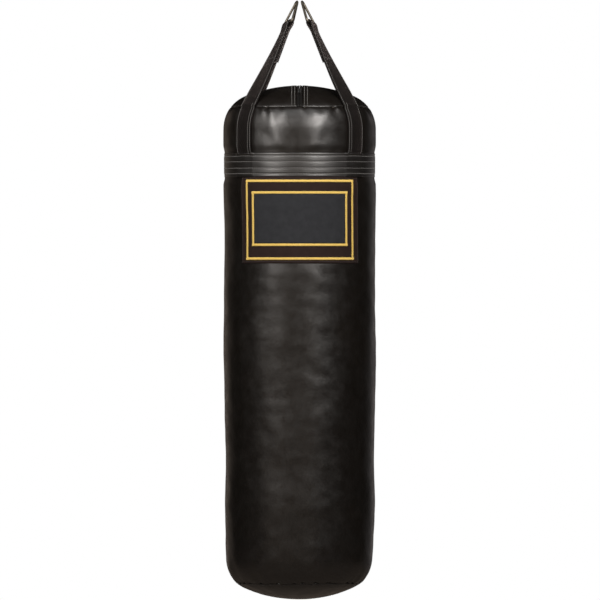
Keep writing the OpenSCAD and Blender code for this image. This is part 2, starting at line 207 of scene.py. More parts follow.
class HeavyBagColours(bpy.types.PropertyGroup):
    """Colours, in linear light."""

    vinyl: colour("Vinyl", (0.0056, 0.0041, 0.0029), "Cover")
    belt: colour("Belt", (0.0060, 0.0047, 0.0038), "Belt")
    webbing: colour("Webbing", (0.0036, 0.0027, 0.0023), "Straps")
    thread: colour("Thread", (0.160, 0.155, 0.148), "Sewing thread")
    dull_thread: colour("Dull thread", (0.036, 0.033, 0.030), "Top seam thread")
    black_thread: colour("Black thread", (0.018, 0.015, 0.013), "Base seam thread")
    steel: colour("Steel", (0.300, 0.270, 0.220), "Rings")
    black_metal: colour("Black metal", (0.022, 0.021, 0.020), "Zip metal")
    label: colour("Label", (0.0185, 0.0105, 0.0090), "Label patch")
    gold: colour("Gold", (0.760, 0.530, 0.130), "Embroidery")
    field: colour("Field", (0.0202, 0.0208, 0.0232), "Inner field of the label")
    tape: colour("Tape", (0.0060, 0.0056, 0.0053), "Zip tape and coil")
    lining: colour("Lining", (0.250, 0.225, 0.185), "Lining cloth")
    foam: colour("Foam", (0.640, 0.590, 0.440), "Foam wrap")
    filling: colour("Filling", (0.160, 0.150, 0.140), "Textile filling")


class HeavyBagStage(bpy.types.PropertyGroup):
    """Camera, lamps and floor."""

    distance: length("Camera distance", 30.0, "Distance from camera to bag")
    view_w: length("View width", 1.308, "Width of the view at the bag")
    aim_x: length("Aim across", 0.0009, "Sideways place of the view's middle")
    aim_z: length("Aim height", -0.6475, "Height of the view's middle")
    key_power: number("Key power", 39.0, "Power of each front softbox in watts")
    back_power: number("Back power", 20.0, "Power of the softbox at the back in watts")
    rim_power: number("Rim power", 1.1, "Power of each rim lamp in watts")
    fill: number("Fill", 0.32, "Light from all round")
    floor_drop: length("Floor drop", 0.55, "Height of the bag over the floor")


# Shape helpers


def smooth(t):
    """Soft step from 0 to 1."""
    t = np.clip(t, 0.0, 1.0)
    return t * t * (3.0 - 2.0 * t)


def bump_at(distance, width):
    """Soft bump that is 1 at no distance."""
    return np.exp(-((distance / width) ** 2))


def unit(v):
    """A direction of length 1."""
    return v / np.linalg.norm(v)


def turned(theta, turn):
    """Angle from a turn, between minus and plus half a turn."""
    return (theta - turn + math.pi) % (2 * math.pi) - math.pi


def stacked(*parts):
    """Coordinates of points from arrays that broadcast together."""
    return np.stack(np.broadcast_arrays(*parts), axis=-1)


def link(name, mesh):
    """Puts a mesh in the scene as an object at the origin."""
    obj = bpy.data.objects.new(name, mesh)
    bpy.context.scene.collection.objects.link(obj)
    return obj


def drop(obj):
    """Removes a working object and its mesh."""
    mesh = obj.data
    bpy.data.objects.remove(obj)
    bpy.data.meshes.remove(mesh)


def sheet(name, points, faces, uvs=None):
    """A smooth mesh from points and faces, with a length map if each point has a UV."""
    mesh = bpy.data.meshes.new(name)
    mesh.from_pydata([tuple(p) for p in points], [], faces)
    if uvs is not None:
        layer = mesh.uv_layers.new(name="length")
        corners = np.zeros(len(mesh.loops), np.int32)
        mesh.loops.foreach_get("vertex_index", corners)
        layer.data.foreach_set("uv", uvs[corners].astype(np.float32).ravel())
    mesh.shade_smooth()
    return link(name, mesh)


def piece(name, points, faces, uvs=None):
    """A smooth closed piece with outward faces."""
    obj = sheet(name, points, faces, uvs)
    work = bmesh.new()
    work.from_mesh(obj.data)
    bmesh.ops.recalc_face_normals(work, faces=work.faces)
    work.to_mesh(obj.data)
    work.free()
    return obj


def baked(obj, name):
    """Turns an object and its modifiers into one plain mesh piece."""
    graph = bpy.context.evaluated_depsgraph_get()
    mesh = bpy.data.meshes.new_from_object(obj.evaluated_get(graph))
    drop(obj)
    mesh.name = name
    return link(name, mesh)


def tube_faces(rows, around, closed=False):
    """Quads between neighbouring rings of points, from one ring to the next."""
    faces = []
    for i in range(rows if closed else rows - 1):
        a, b = i * around, (i + 1) % rows * around
        faces += [
            (a + j, b + j, b + (j + 1) % around, a + (j + 1) % around)
            for j in range(around)
        ]
    return faces


def declare(obj, slot, body, *nodes):
    """Attaches a piece to the body it rides on and hides the nodes it stands for; its slot is
    not used.
    """
    if body:
        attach(obj, body)
    if nodes:
        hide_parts(*nodes)


def set_finish(obj, material, slot, body, *nodes):
    obj.data.materials.clear()
    obj.data.materials.append(material)
    declare(obj, slot, body, *nodes)


# The cover as a surface: angle round the bag from the front, length down the outline

OUTLINE_STEP = 0.001
# Height and sideways swell of the wall between the belt and the base
WALL_SWELL = (
    (-0.400, 0.0),
    (-0.500, -0.0004),
    (-0.650, 0.0012),
    (-0.756, 0.0031),
    (-0.880, 0.0016),
    (-0.996, 0.0003),
    (-1.094, 0.0027),
    (-1.170, 0.0004),
    (-1.225, -0.0012),
    (-1.290, -0.0010),
)
# Angles in degrees and strength of the deepest gathers under the top seam at the front
FRONT_GATHERS = ((-28.5, 1.0), (-15.0, 0.45), (4.0, 0.8), (17.0, 0.4), (29.5, 1.0))
# Angle at the top seam, height, width and lean of the folds down the front shoulder
SHOULDER_FOLDS = (
    (-31.0, 0.0010, 0.015, 0.55),
    (-4.0, -0.0006, 0.018, 0.0),
    (21.0, 0.0010, 0.015, -0.35),
)
# Lumps and dimples: how many waves make them, the range of turns round the bag, and the
# most radians to a metre down the bag
LUMPS = (16, (0, 6), 22)
DIMPLES = (34, (4, 22), 150)
# The waves of a kind add up, so each kind is divided by this
WAVE_SHARE = 4.0
# Lengths over which the lumps fade out at the top seam and at the base
LUMP_FADE_TOP = 0.03
LUMP_FADE_BASE = 0.12
GATHER_SPACING = 11.0
GATHER_WANDER = 0.4
GATHER_STRENGTH = (0.25, 1.0)
GATHER_BASE_SHARE = 1.1
GATHER_CLEAR = 34.0
GATHER_WIDTH = (0.0040, 0.0065)
GATHER_LENGTH = (0.010, 0.026)
GATHER_LEAN = 0.25
# Swell on both sides of a crease: its height against the crease, its place in widths
CREASE_SWELL = 0.3
CREASE_SWELL_OFF = 2.0
FOLD_FADE = 0.02
SEAM_WIDTH = 0.0042
PANEL_SHARE = 0.35
BASE_SHARE = 0.3
STRAP_PRESS = 0.0018
PRESS_WIDTH = 0.020
PRESS_FADE_TOP = 0.01
PRESS_FADE_BELT = 0.02
STRAP_SWELL = 0.0002
STRAP_SWELL_OFF = 0.008
STRAP_SWELL_WIDTH = 0.007
HEM_EDGE = 0.0195
HEM_FADE = 0.0025
HEM_ROWS = (0.0105, 0.0170)
HEM_GROOVE = 0.0005
HEM_GROOVE_WIDTH = 0.0013


class CoverSurface:
    """The outline of the stuffed cover, its dents and its points."""

    def __init__(self, cover, strap):
        self.cover = cover
        self.half_strap = strap.width / 2
        shoulder_c = BAG_R - cover.shoulder_r
        rise = math.sqrt((cover.crown_r - cover.shoulder_r) ** 2 - shoulder_c**2)
        shoulder_z = CROWN_MID_Z + rise
        crown_a = math.atan2(rise, shoulder_c)
        base_mid_z = BASE_Z + cover.base_crown_r
        base_c = cover.base_r - cover.base_turn_r
        drop_z = math.sqrt((cover.base_crown_r - cover.base_turn_r) ** 2 - base_c**2)
        turn_z = base_mid_z - drop_z
        base_a = math.atan2(drop_z, base_c)
        wall_z = np.arange(shoulder_z, turn_z, -OUTLINE_STEP)
        share = (shoulder_z - wall_z) / (shoulder_z - turn_z)
        runs = [
            self.arc(0.0, CROWN_MID_Z, cover.crown_r, math.pi / 2, crown_a),
            self.arc(shoulder_c, shoulder_z, cover.shoulder_r, crown_a, 0.0),
            (BAG_R + (cover.base_r - BAG_R) * share, wall_z),
            self.arc(base_c, turn_z, cover.base_turn_r, 0.0, -base_a),
            self.arc(0.0, base_mid_z, cover.base_crown_r, -base_a, -math.pi / 2),
        ]
        self.r = np.concatenate([run[0] for run in runs])
        self.z = np.concatenate([run[1] for run in runs])
        self.r = self.r - self.draw_in(self.z)
        self.r = np.maximum(self.r + self.swell(self.z) * (self.r > base_c), 0.0)
        step = np.hypot(np.diff(self.r), np.diff(self.z))
        self.s = np.concatenate([[0.0], np.cumsum(step)])
        slope_r, slope_z = np.gradient(self.r, self.s), np.gradient(self.z, self.s)
        size = np.hypot(slope_r, slope_z)
        self.nr, self.nz = -slope_z / size, slope_r / size
        crown_l = cover.crown_r * (math.pi / 2 - crown_a)
        self.top_seam = crown_l + cover.shoulder_r * (crown_a - cover.top_seam)
        base_l = cover.base_crown_r * (math.pi / 2 - base_a)
        base_l += cover.base_turn_r * (base_a - cover.base_seam)
        self.end = self.s[-1]
        self.base_seam = self.end - base_l
        self.straps = {name: self.strap_angle(name) for name in CORNERS}
        self.seeded(cover.seed)

    @staticmethod
    def arc(mid_r, mid_z, radius, start, end):
        """Points on an arc, the last one left to the next run."""
        count = max(8, int(abs(end - start) * radius / OUTLINE_STEP))
        a = np.linspace(start, end, count, endpoint=end <= -math.pi / 2)
        return np.maximum(mid_r + radius * np.cos(a), 0.0), mid_z + radius * np.sin(a)

    def draw_in(self, z):
        """Depth that the belt draws the cover in at a height."""
        cover = self.cover
        inside = np.minimum(BELT_HIGH - z, z - BELT_LOW)
        beside = cover.edge_sink * smooth(1.0 + inside / cover.cinch_l)
        under = (cover.belt_sink - cover.edge_sink) * smooth(inside / cover.tuck_l)
        return beside + under

    @staticmethod
    def swell(z):
        """Soft curve through the wall's swell points."""
        heights = np.array([p[0] for p in WALL_SWELL])
        sizes = np.array([p[1] for p in WALL_SWELL])
        i = np.clip(np.searchsorted(-heights, -z) - 1, 0, len(heights) - 2)
        t = smooth((z - heights[i]) / (heights[i + 1] - heights[i]))
        return sizes[i] * (1.0 - t) + sizes[i + 1] * t

    @staticmethod
    def strap_angle(name):
        """Angle of a strap round the bag, from the front."""
        x, y, _ = JOINTS[f"strap_{name}_fold"]["pos_m"]
        return math.atan2(x, -y)

    def seeded(self, seed):
        """Draws the lumps and gathers once, from one seed."""
        rng = np.random.default_rng(seed)
        self.lumps, self.dimples = (
            [
                (
                    rng.integers(*turns),
                    rng.uniform(-down, down),
                    rng.uniform(0, 2 * math.pi),
                )
                for _ in range(count)
            ]
            for count, turns, down in (LUMPS, DIMPLES)
        )
        self.top_gathers, self.base_gathers = [], []
        for a in np.arange(-180.0, 180.0, GATHER_SPACING):
            turn = a + rng.uniform(-GATHER_WANDER, GATHER_WANDER) * GATHER_SPACING
            strength = rng.uniform(*GATHER_STRENGTH)
            if abs(turn) > GATHER_CLEAR:
                self.top_gathers.append(self.gather(rng, turn, strength))
            strength = GATHER_BASE_SHARE * strength
            self.base_gathers.append(self.gather(rng, -turn, strength))
        self.top_gathers += [self.gather(rng, a, k) for a, k in FRONT_GATHERS]

    @staticmethod
    def gather(rng, degrees, strength):
        """One crease: angle, strength, width, length and lean."""
        return (
            math.radians(degrees),
            strength,
            rng.uniform(*GATHER_WIDTH),
            rng.uniform(*GATHER_LENGTH),
            rng.uniform(-GATHER_LEAN, GATHER_LEAN),
        )

    def at(self, s):
        """Radius, height and normal of the plain outline."""
        table = (self.r, self.z, self.nr, self.nz)
        return [np.interp(s, self.s, values) for values in table]

    def length_at(self, z):
        """Length down the outline to a height on the wall."""
        return np.interp(-z, -self.z, self.s)

    def creases(self, gathers, theta, r, away):
        """Creases that run out from a seam, with a swell on both sides of each."""
        total = np.zeros_like(theta * away)
        for turn, strength, width, reach, lean in gathers:
            side = turned(theta, turn) * r - lean * away
            broad = width * (1.0 + away / reach)
            fade = strength * np.exp(-away / reach)
            total -= fade * bump_at(side, broad)
            beside = np.abs(side) - CREASE_SWELL_OFF * broad
            total += CREASE_SWELL * fade * bump_at(beside, broad)
        return total

    @staticmethod
    def waves(kind, theta, z):
        """Sum of the waves of one kind, round and down the bag."""
        return sum(np.cos(m * theta + k * z + p) for m, k, p in kind)

    def dents(self, theta, s, r, z):
        """How far the cover stands out from its plain outline."""
        cover = self.cover
        lumps = cover.lump * self.waves(self.lumps, theta, z) / WAVE_SHARE
        dimples = cover.dimple * self.waves(self.dimples, theta, z) / WAVE_SHARE
        belt = smooth(np.maximum(z - BELT_HIGH, BELT_LOW - z) / cover.cinch_l)
        wall = smooth((s - self.top_seam) / LUMP_FADE_TOP) * belt
        wall = wall * smooth((self.end - s) / LUMP_FADE_BASE)
        total = wall * (lumps + dimples)
        for seam, gathers, way, pull in (
            (self.top_seam, self.top_gathers, 1.0, cover.seam_pull),
            (self.base_seam, self.base_gathers, -1.0, BASE_SHARE * cover.seam_pull),
        ):
            past = (s - seam) * way
            pleats = cover.gather * self.creases(gathers, theta, r, np.abs(past))
            pleats = pleats - pull * bump_at(past, SEAM_WIDTH)
            total = total + np.where(past >= 0.0, pleats, PANEL_SHARE * pleats)
        past = s - self.top_seam
        shoulder = smooth(past / FOLD_FADE) * smooth((z - BELT_HIGH) / FOLD_FADE)
        for turn, height, width, lean in SHOULDER_FOLDS:
            side = (theta - math.radians(turn)) * r - lean * past
            total = total + shoulder * height * bump_at(side, width)
        under = smooth(past / PRESS_FADE_TOP)
        under = under * smooth((z - BELT_LOW) / PRESS_FADE_BELT)
        for turn in self.straps.values():
            side = np.abs(turned(theta, turn) * r) - self.half_strap
            total = total - under * STRAP_PRESS * smooth(0.5 - side / PRESS_WIDTH)
            swell = bump_at(side - STRAP_SWELL_OFF, STRAP_SWELL_WIDTH)
            total = total + under * belt * STRAP_SWELL * swell
        across = np.abs(r * np.sin(theta))
        hem = cover.hem * smooth((HEM_EDGE - across) / HEM_FADE)
        hem = hem - sum(
            HEM_GROOVE * bump_at(across - x, HEM_GROOVE_WIDTH) for x in HEM_ROWS
        )
        return total + np.where(s < self.top_seam, hem, 0.0)

    def points(self, theta, s, lift=0.0, dented=True):
        """Points on the cover, or above it by a lift, or on its plain outline."""
        r, z, nr, nz = self.at(s)
        out = lift + (self.dents(theta, s, r, z) if dented else 0.0)
        r, z = np.maximum(r + nr * out, 0.0), z + nz * out
        return stacked(r * np.sin(theta), -r * np.cos(theta), z)

    def normals(self, theta, s):
        """Outward normals of the plain outline."""
        _, _, nr, nz = self.at(s)
        return stacked(nr * np.sin(theta), -nr * np.cos(theta), nz)


# Node helpers


def add(tree, kind, **settings):
    """Adds a node and sets its options."""
    node = tree.nodes.new(kind)
    for name, setting in settings.items():
        setattr(node, name, setting)
    return node


def feed(tree, socket, item):
    """Links a socket to an input, or sets the input to a plain value."""
    if isinstance(item, bpy.types.NodeSocket):
        tree.links.new(item, socket)
    else:
        socket.default_value = item


def calc(tree, operation, *items):
    """A Math node's result."""
    node = add(tree, "ShaderNodeMath", operation=operation)
    for socket, item in zip(node.inputs, items):
        feed(tree, socket, item)
    return node.outputs[0]


def spread(tree, item, low, high, from_low=0.0, from_high=1.0):
    """A value moved from one range to another."""
    node = add(tree, "ShaderNodeMapRange")
    for name, part in (
        ("Value", item),
        ("From Min", from_low),
        ("From Max", from_high),
        ("To Min", low),
        ("To Max", high),
    ):
        feed(tree, node.inputs[name], part)
    return node.outputs["Result"]


def sharpened(tree, item, low, high):
    """A mask that runs from 0 to 1 between two values."""
    return spread(tree, item, 0.0, 1.0, low, high)


def noise(tree, vector, scale, detail, roughness=0.5):
    """A noise value from 0 to 1."""
    node = add(tree, "ShaderNodeTexNoise")
    for name, part in (
        ("Vector", vector),
        ("Scale", scale),
        ("Detail", detail),
        ("Roughness", roughness),
    ):
        feed(tree, node.inputs[name], part)
    return node.outputs["Fac"]


def tint(tree, factor, first, second):
    """A colour between two colours."""
    node = add(tree, "ShaderNodeMix", data_type="RGBA")
    feed(tree, node.inputs[0], factor)
    for socket, part in ((node.inputs[6], first), (node.inputs[7], second)):
        plain = not isinstance(part, bpy.types.NodeSocket)
        feed(tree, socket, (*part, 1.0) if plain else part)
    return node.outputs[2]


def effect(name, inputs, outputs):
    """A shader node group, with its input and output nodes where it is new."""
    if name in bpy.data.node_groups:
        return bpy.data.node_groups[name], None, None
    tree = bpy.data.node_groups.new(name, "ShaderNodeTree")
    for label, kind in inputs:
        tree.interface.new_socket(label, in_out="INPUT", socket_type=kind)
    for label in outputs:
        tree.interface.new_socket(
            label, in_out="OUTPUT", socket_type="NodeSocketFloat"
        )
    return tree, add(tree, "NodeGroupInput"), add(tree, "NodeGroupOutput")


def placed(material, tree, coordinates, **values):
    """Places an effect in a material, on Object or UV coordinates."""
    nodes = material.node_tree
    group = add(nodes, "ShaderNodeGroup", node_tree=tree)
    where = add(nodes, "ShaderNodeTexCoord")
    nodes.links.new(where.outputs[coordinates], group.inputs["Vector"])
    for label, part in values.items():
        group.inputs[label].default_value = part
    return group.outputs


def new_material(name, **plain):
    """A material with one Principled shader, its plain values set on the sockets."""
    material = bpy.data.materials.new(name)
    material.use_nodes = True
    shader = material.node_tree.nodes["Principled BSDF"]
    for label, part in plain.items():
        shader.inputs[label.replace("_", " ")].default_value = part
    return material, shader


def raised(material, shader, height, strength, distance):
    """Feeds a height to the shader through a Bump node."""
    nodes = material.node_tree
    node = add(nodes, "ShaderNodeBump")
    node.inputs["Strength"].default_value = strength
    node.inputs["Distance"].default_value = distance
    nodes.links.new(height, node.inputs["Height"])
    nodes.links.new(node.outputs["Normal"], shader.inputs["Normal"])


# Effects that more than one finish uses


def grain_effect():
    """Pebbled skin of coated cloth, with soft dents, a mottle and scuffs."""
    sockets = (("Vector", "NodeSocketVector"), ("Grain", "NodeSocketFloat"))
    tree, into, out = effect("grain", sockets, ("Height", "Dents", "Mottle", "Scuff"))
    if into:
        where, size = into.outputs["Vector"], into.outputs["Grain"]
        cells = add(tree, "ShaderNodeTexVoronoi", feature="SMOOTH_F1")
        feed(tree, cells.inputs["Vector"], where)
        feed(tree, cells.inputs["Scale"], size)
        fine = noise(tree, where, calc(tree, "MULTIPLY", size, 0.45), detail=3.0)
        height = calc(tree, "MULTIPLY_ADD", fine, 0.5, cells.outputs["Distance"])
        feed(tree, out.inputs["Height"], height)
        flat = add(tree, "ShaderNodeVectorMath", operation="MULTIPLY")
        feed(tree, flat.inputs[0], where)
        feed(tree, flat.inputs[1], (0.8, 0.8, 1.6))
        dents = noise(tree, flat.outputs[0], 11.0, detail=1.5, roughness=0.45)
        feed(tree, out.inputs["Dents"], dents)
        mottle = noise(tree, where, 46.0, detail=4.0, roughness=0.62)
        feed(tree, out.inputs["Mottle"], sharpened(tree, mottle, 0.3, 0.7))
        smudge = noise(tree, where, 12.0, detail=6.0, roughness=0.65)
        smudge = sharpened(tree, smudge, 0.5, 0.78)
        feed(tree, out.inputs["Scuff"], calc(tree, "MULTIPLY", smudge, fine))
    return tree


def weave_effect():
    """Woven threads, as a height and a mask of the threads that lie on top."""
    sockets = (
        ("Vector", "NodeSocketVector"),
        ("Warp", "NodeSocketFloat"),
        ("Weft", "NodeSocketFloat"),
        ("Repeat", "NodeSocketFloat"),
    )
    tree, into, out = effect("weave", sockets, ("Height", "Over", "Wear"))
    if into:
        parts = add(tree, "ShaderNodeSeparateXYZ")
        feed(tree, parts.inputs[0], into.outputs["Vector"])
        across = calc(tree, "DIVIDE", parts.outputs["Y"], into.outputs["Warp"])
        along = calc(tree, "DIVIDE", parts.outputs["X"], into.outputs["Weft"])
        ridges = []
        for part in (across, along):
            turn = calc(tree, "MULTIPLY", calc(tree, "FRACT", part), math.pi)
            ridges.append(calc(tree, "SINE", turn))
        cell = calc(tree, "ADD", *(calc(tree, "FLOOR", p) for p in (across, along)))
        repeat = into.outputs["Repeat"]
        step = calc(tree, "FLOORED_MODULO", cell, repeat)
        over = calc(tree, "LESS_THAN", step, calc(tree, "MULTIPLY", repeat, 0.5))
        under = calc(tree, "SUBTRACT", 1.0, over)
        tops = []
        for ridge, other, mask in zip(ridges, ridges[::-1], (over, under)):
            crown = calc(tree, "MULTIPLY_ADD", other, 0.45, 0.55)
            top = calc(tree, "MULTIPLY", ridge, crown)
            tops.append(calc(tree, "MULTIPLY", mask, top))
        feed(tree, out.inputs["Height"], calc(tree, "ADD", *tops))
        feed(tree, out.inputs["Over"], over)
        wear = noise(tree, into.outputs["Vector"], 60.0, detail=5.0, roughness=0.6)
        feed(tree, out.inputs["Wear"], sharpened(tree, wear, 0.35, 0.7))
    return tree


def patina_effect():
    """Uneven finish of metal, thread and filling: fine streaks and broad stains."""
    sockets = (("Vector", "NodeSocketVector"), ("Fine", "NodeSocketFloat"))
    tree, into, out = effect("patina", sockets, ("Streak", "Stain"))
    if into:
        where, fine = into.outputs["Vector"], into.outputs["Fine"]
        streak = noise(tree, where, fine, detail=5.0, roughness=0.6)
        feed(tree, out.inputs["Streak"], streak)
        broad = noise(tree, where, calc(tree, "MULTIPLY", fine, 0.12), detail=3.0)
        feed(tree, out.inputs["Stain"], sharpened(tree, broad, 0.35, 0.65))
    return tree


def lighter(tone, times):
    """A colour made lighter or darker."""
    return tuple(min(1.0, part * times) for part in tone)


# Finishes

# Vinyl: pebbles to a metre, height of the soft dents against the grain's own, strength
# and lightness of the scuffs, spread of the gloss, and the relief
GRAIN = 760.0
DENT_H = 20.0
SCUFF = 0.55
SCUFF_LIGHT = 2.6
GLOSS_SPREAD = (-0.05, 0.07)
GRAIN_RELIEF = (0.30, 0.0006)
# Cloth: tint of the fuzz, share of wear, and spread of the roughness
FUZZ_TINT = (1.0, 0.84, 0.80)
CLOTH_WEAR = 0.5
CLOTH_SPREAD = 0.08
CLOTH_BUMP = 0.8
# Metal: streaks to a metre, darkness of the stains, and the relief
METAL_STREAKS = 900.0
STAIN_DARK = 0.55
METAL_RELIEF = (0.05, 0.0002)
FIBRE_SPREAD = (-0.06, 0.08)
FIBRE_BUMP = 0.6


def vinyl(name, tone, gloss, coat=0.0):
    """Coated black cloth with a pebbled grain, mottled gloss and faint scuffs."""
    material, shader = new_material(
        name, Specular_IOR_Level=1.0, Coat_Weight=coat, Coat_Roughness=gloss
    )
    nodes = material.node_tree
    skin = placed(material, grain_effect(), "Object", Grain=GRAIN)
    scuffed = calc(nodes, "MULTIPLY", skin["Scuff"], SCUFF)
    base = tint(nodes, scuffed, tone, lighter(tone, SCUFF_LIGHT))
    feed(nodes, shader.inputs["Base Color"], base)
    rough = spread(nodes, skin["Mottle"], *(gloss + part for part in GLOSS_SPREAD))
    feed(nodes, shader.inputs["Roughness"], rough)
    height = calc(nodes, "MULTIPLY_ADD", skin["Dents"], DENT_H, skin["Height"])
    raised(material, shader, height, *GRAIN_RELIEF)
    return material


def cloth(name, tone, warp, weft, repeat, contrast, rough, lift, fuzz=0.03):
    """Woven cloth on the piece's own length map."""
    material, shader = new_material(
        name,
        Specular_IOR_Level=0.12,
        Sheen_Weight=fuzz,
        Sheen_Roughness=0.25,
        Sheen_Tint=(*FUZZ_TINT, 1.0),
    )
    nodes = material.node_tree
    web = placed(material, weave_effect(), "UV", Warp=warp, Weft=weft, Repeat=repeat)
    plain = tint(nodes, web["Over"], tone, lighter(tone, contrast))
    worn = calc(nodes, "MULTIPLY", web["Wear"], CLOTH_WEAR)
    base = tint(nodes, worn, plain, lighter(tone, 0.6 * contrast + 0.9))
    feed(nodes, shader.inputs["Base Color"], base)
    dull = spread(nodes, web["Height"], rough + CLOTH_SPREAD, rough - CLOTH_SPREAD)
    feed(nodes, shader.inputs["Roughness"], dull)
    raised(material, shader, web["Height"], CLOTH_BUMP, lift)
    return material


def metal(name, tone, low, high):
    """Bright zinc-plated steel with streaks and dull stains."""
    material, shader = new_material(name, Metallic=1.0)
    nodes = material.node_tree
    finish = placed(material, patina_effect(), "Object", Fine=METAL_STREAKS)
    base = tint(nodes, finish["Stain"], tone, lighter(tone, STAIN_DARK))
    feed(nodes, shader.inputs["Base Color"], base)
    rough = spread(nodes, finish["Streak"], low, high)
    feed(nodes, shader.inputs["Roughness"], rough)
    raised(material, shader, finish["Streak"], *METAL_RELIEF)
    return material


def fibre(name, tone, fine, deep, rough, lift):
    """Thread, foam or stuffing: a soft surface with fine variation."""
    material, shader = new_material(
        name, Specular_IOR_Level=0.30, Sheen_Weight=0.20, Sheen_Roughness=0.4
    )
    nodes = material.node_tree
    finish = placed(material, patina_effect(), "Object", Fine=fine)
    strand = sharpened(nodes, finish["Streak"], 0.3, 0.7)
    base = tint(nodes, strand, lighter(tone, deep), lighter(tone, 2.0 - deep))
    feed(nodes, shader.inputs["Base Color"], base)
    dull = spread(nodes, finish["Stain"], *(rough + part for part in FIBRE_SPREAD))
    feed(nodes, shader.inputs["Roughness"], dull)
    raised(material, shader, finish["Streak"], FIBRE_BUMP, lift)
    return material


def weave(warp, weft, repeat, contrast, rough, lift, **more):
    """Settings of a woven cloth: thread widths, twill repeat, contrast and relief."""
    return dict(
        warp=warp,
        weft=weft,
        repeat=repeat,
        contrast=contrast,
        rough=rough,
        lift=lift,
        **more,
    )


def strands(fine, deep, rough, lift):
    """Settings of a fibre: fineness, darkest share, roughness and relief."""
    return dict(fine=fine, deep=deep, rough=rough, lift=lift)


# Each finish: how it is made, its colour in the sidebar and its settings
FINISHES = {
    "cover_skin": (vinyl, "vinyl", dict(gloss=0.35)),
    "belt_skin": (vinyl, "belt", dict(gloss=0.41, coat=0.8)),
    "strap_web": (
        cloth,
        "webbing",
        weave(0.0016, 0.0024, 4, 1.7, 0.62, 0.0005, fuzz=0.4),
    ),
    "label_weave": (cloth, "label", weave(0.0011, 0.0011, 2, 1.25, 0.72, 0.0003)),
    "field_weave": (cloth, "field", weave(0.0009, 0.0009, 2, 1.2, 0.7, 0.0002)),
    "tape_weave": (cloth, "tape", weave(0.0009, 0.0012, 4, 1.4, 0.6, 0.0003)),
    "lining_weave": (cloth, "lining", weave(0.0016, 0.0016, 2, 1.15, 0.8, 0.0005)),
    "ring_metal": (metal, "steel", dict(low=0.44, high=0.56)),
    "zip_cast": (metal, "black_metal", dict(low=0.34, high=0.50)),
    "sewing_thread": (fibre, "thread", strands(1500.0, 0.75, 0.6, 0.0002)),
    "seam_thread": (fibre, "dull_thread", strands(1500.0, 0.7, 0.65, 0.0002)),
    "base_thread": (fibre, "black_thread", strands(1500.0, 0.7, 0.65, 0.0002)),
    "gold_strand": (fibre, "gold", strands(900.0, 0.72, 0.45, 0.0002)),
    "coil_nylon": (fibre, "tape", strands(700.0, 0.8, 0.35, 0.0001)),
    "foam_pores": (fibre, "foam", strands(480.0, 0.7, 0.85, 0.0012)),
    "filling_shreds": (fibre, "filling", strands(130.0, 0.45, 0.9, 0.0030)),
}


def finish(name):
    """The material of a finish, made on its first use."""
    if name in bpy.data.materials:
        return bpy.data.materials[name]
    make, tone, settings = FINISHES[name]
    tones = bpy.context.scene.heavy_bag_colours
    return make(name, tuple(getattr(tones, tone)), **settings)


# Thread work: stitches, embroidery strands and zip teeth are laid along rows of points


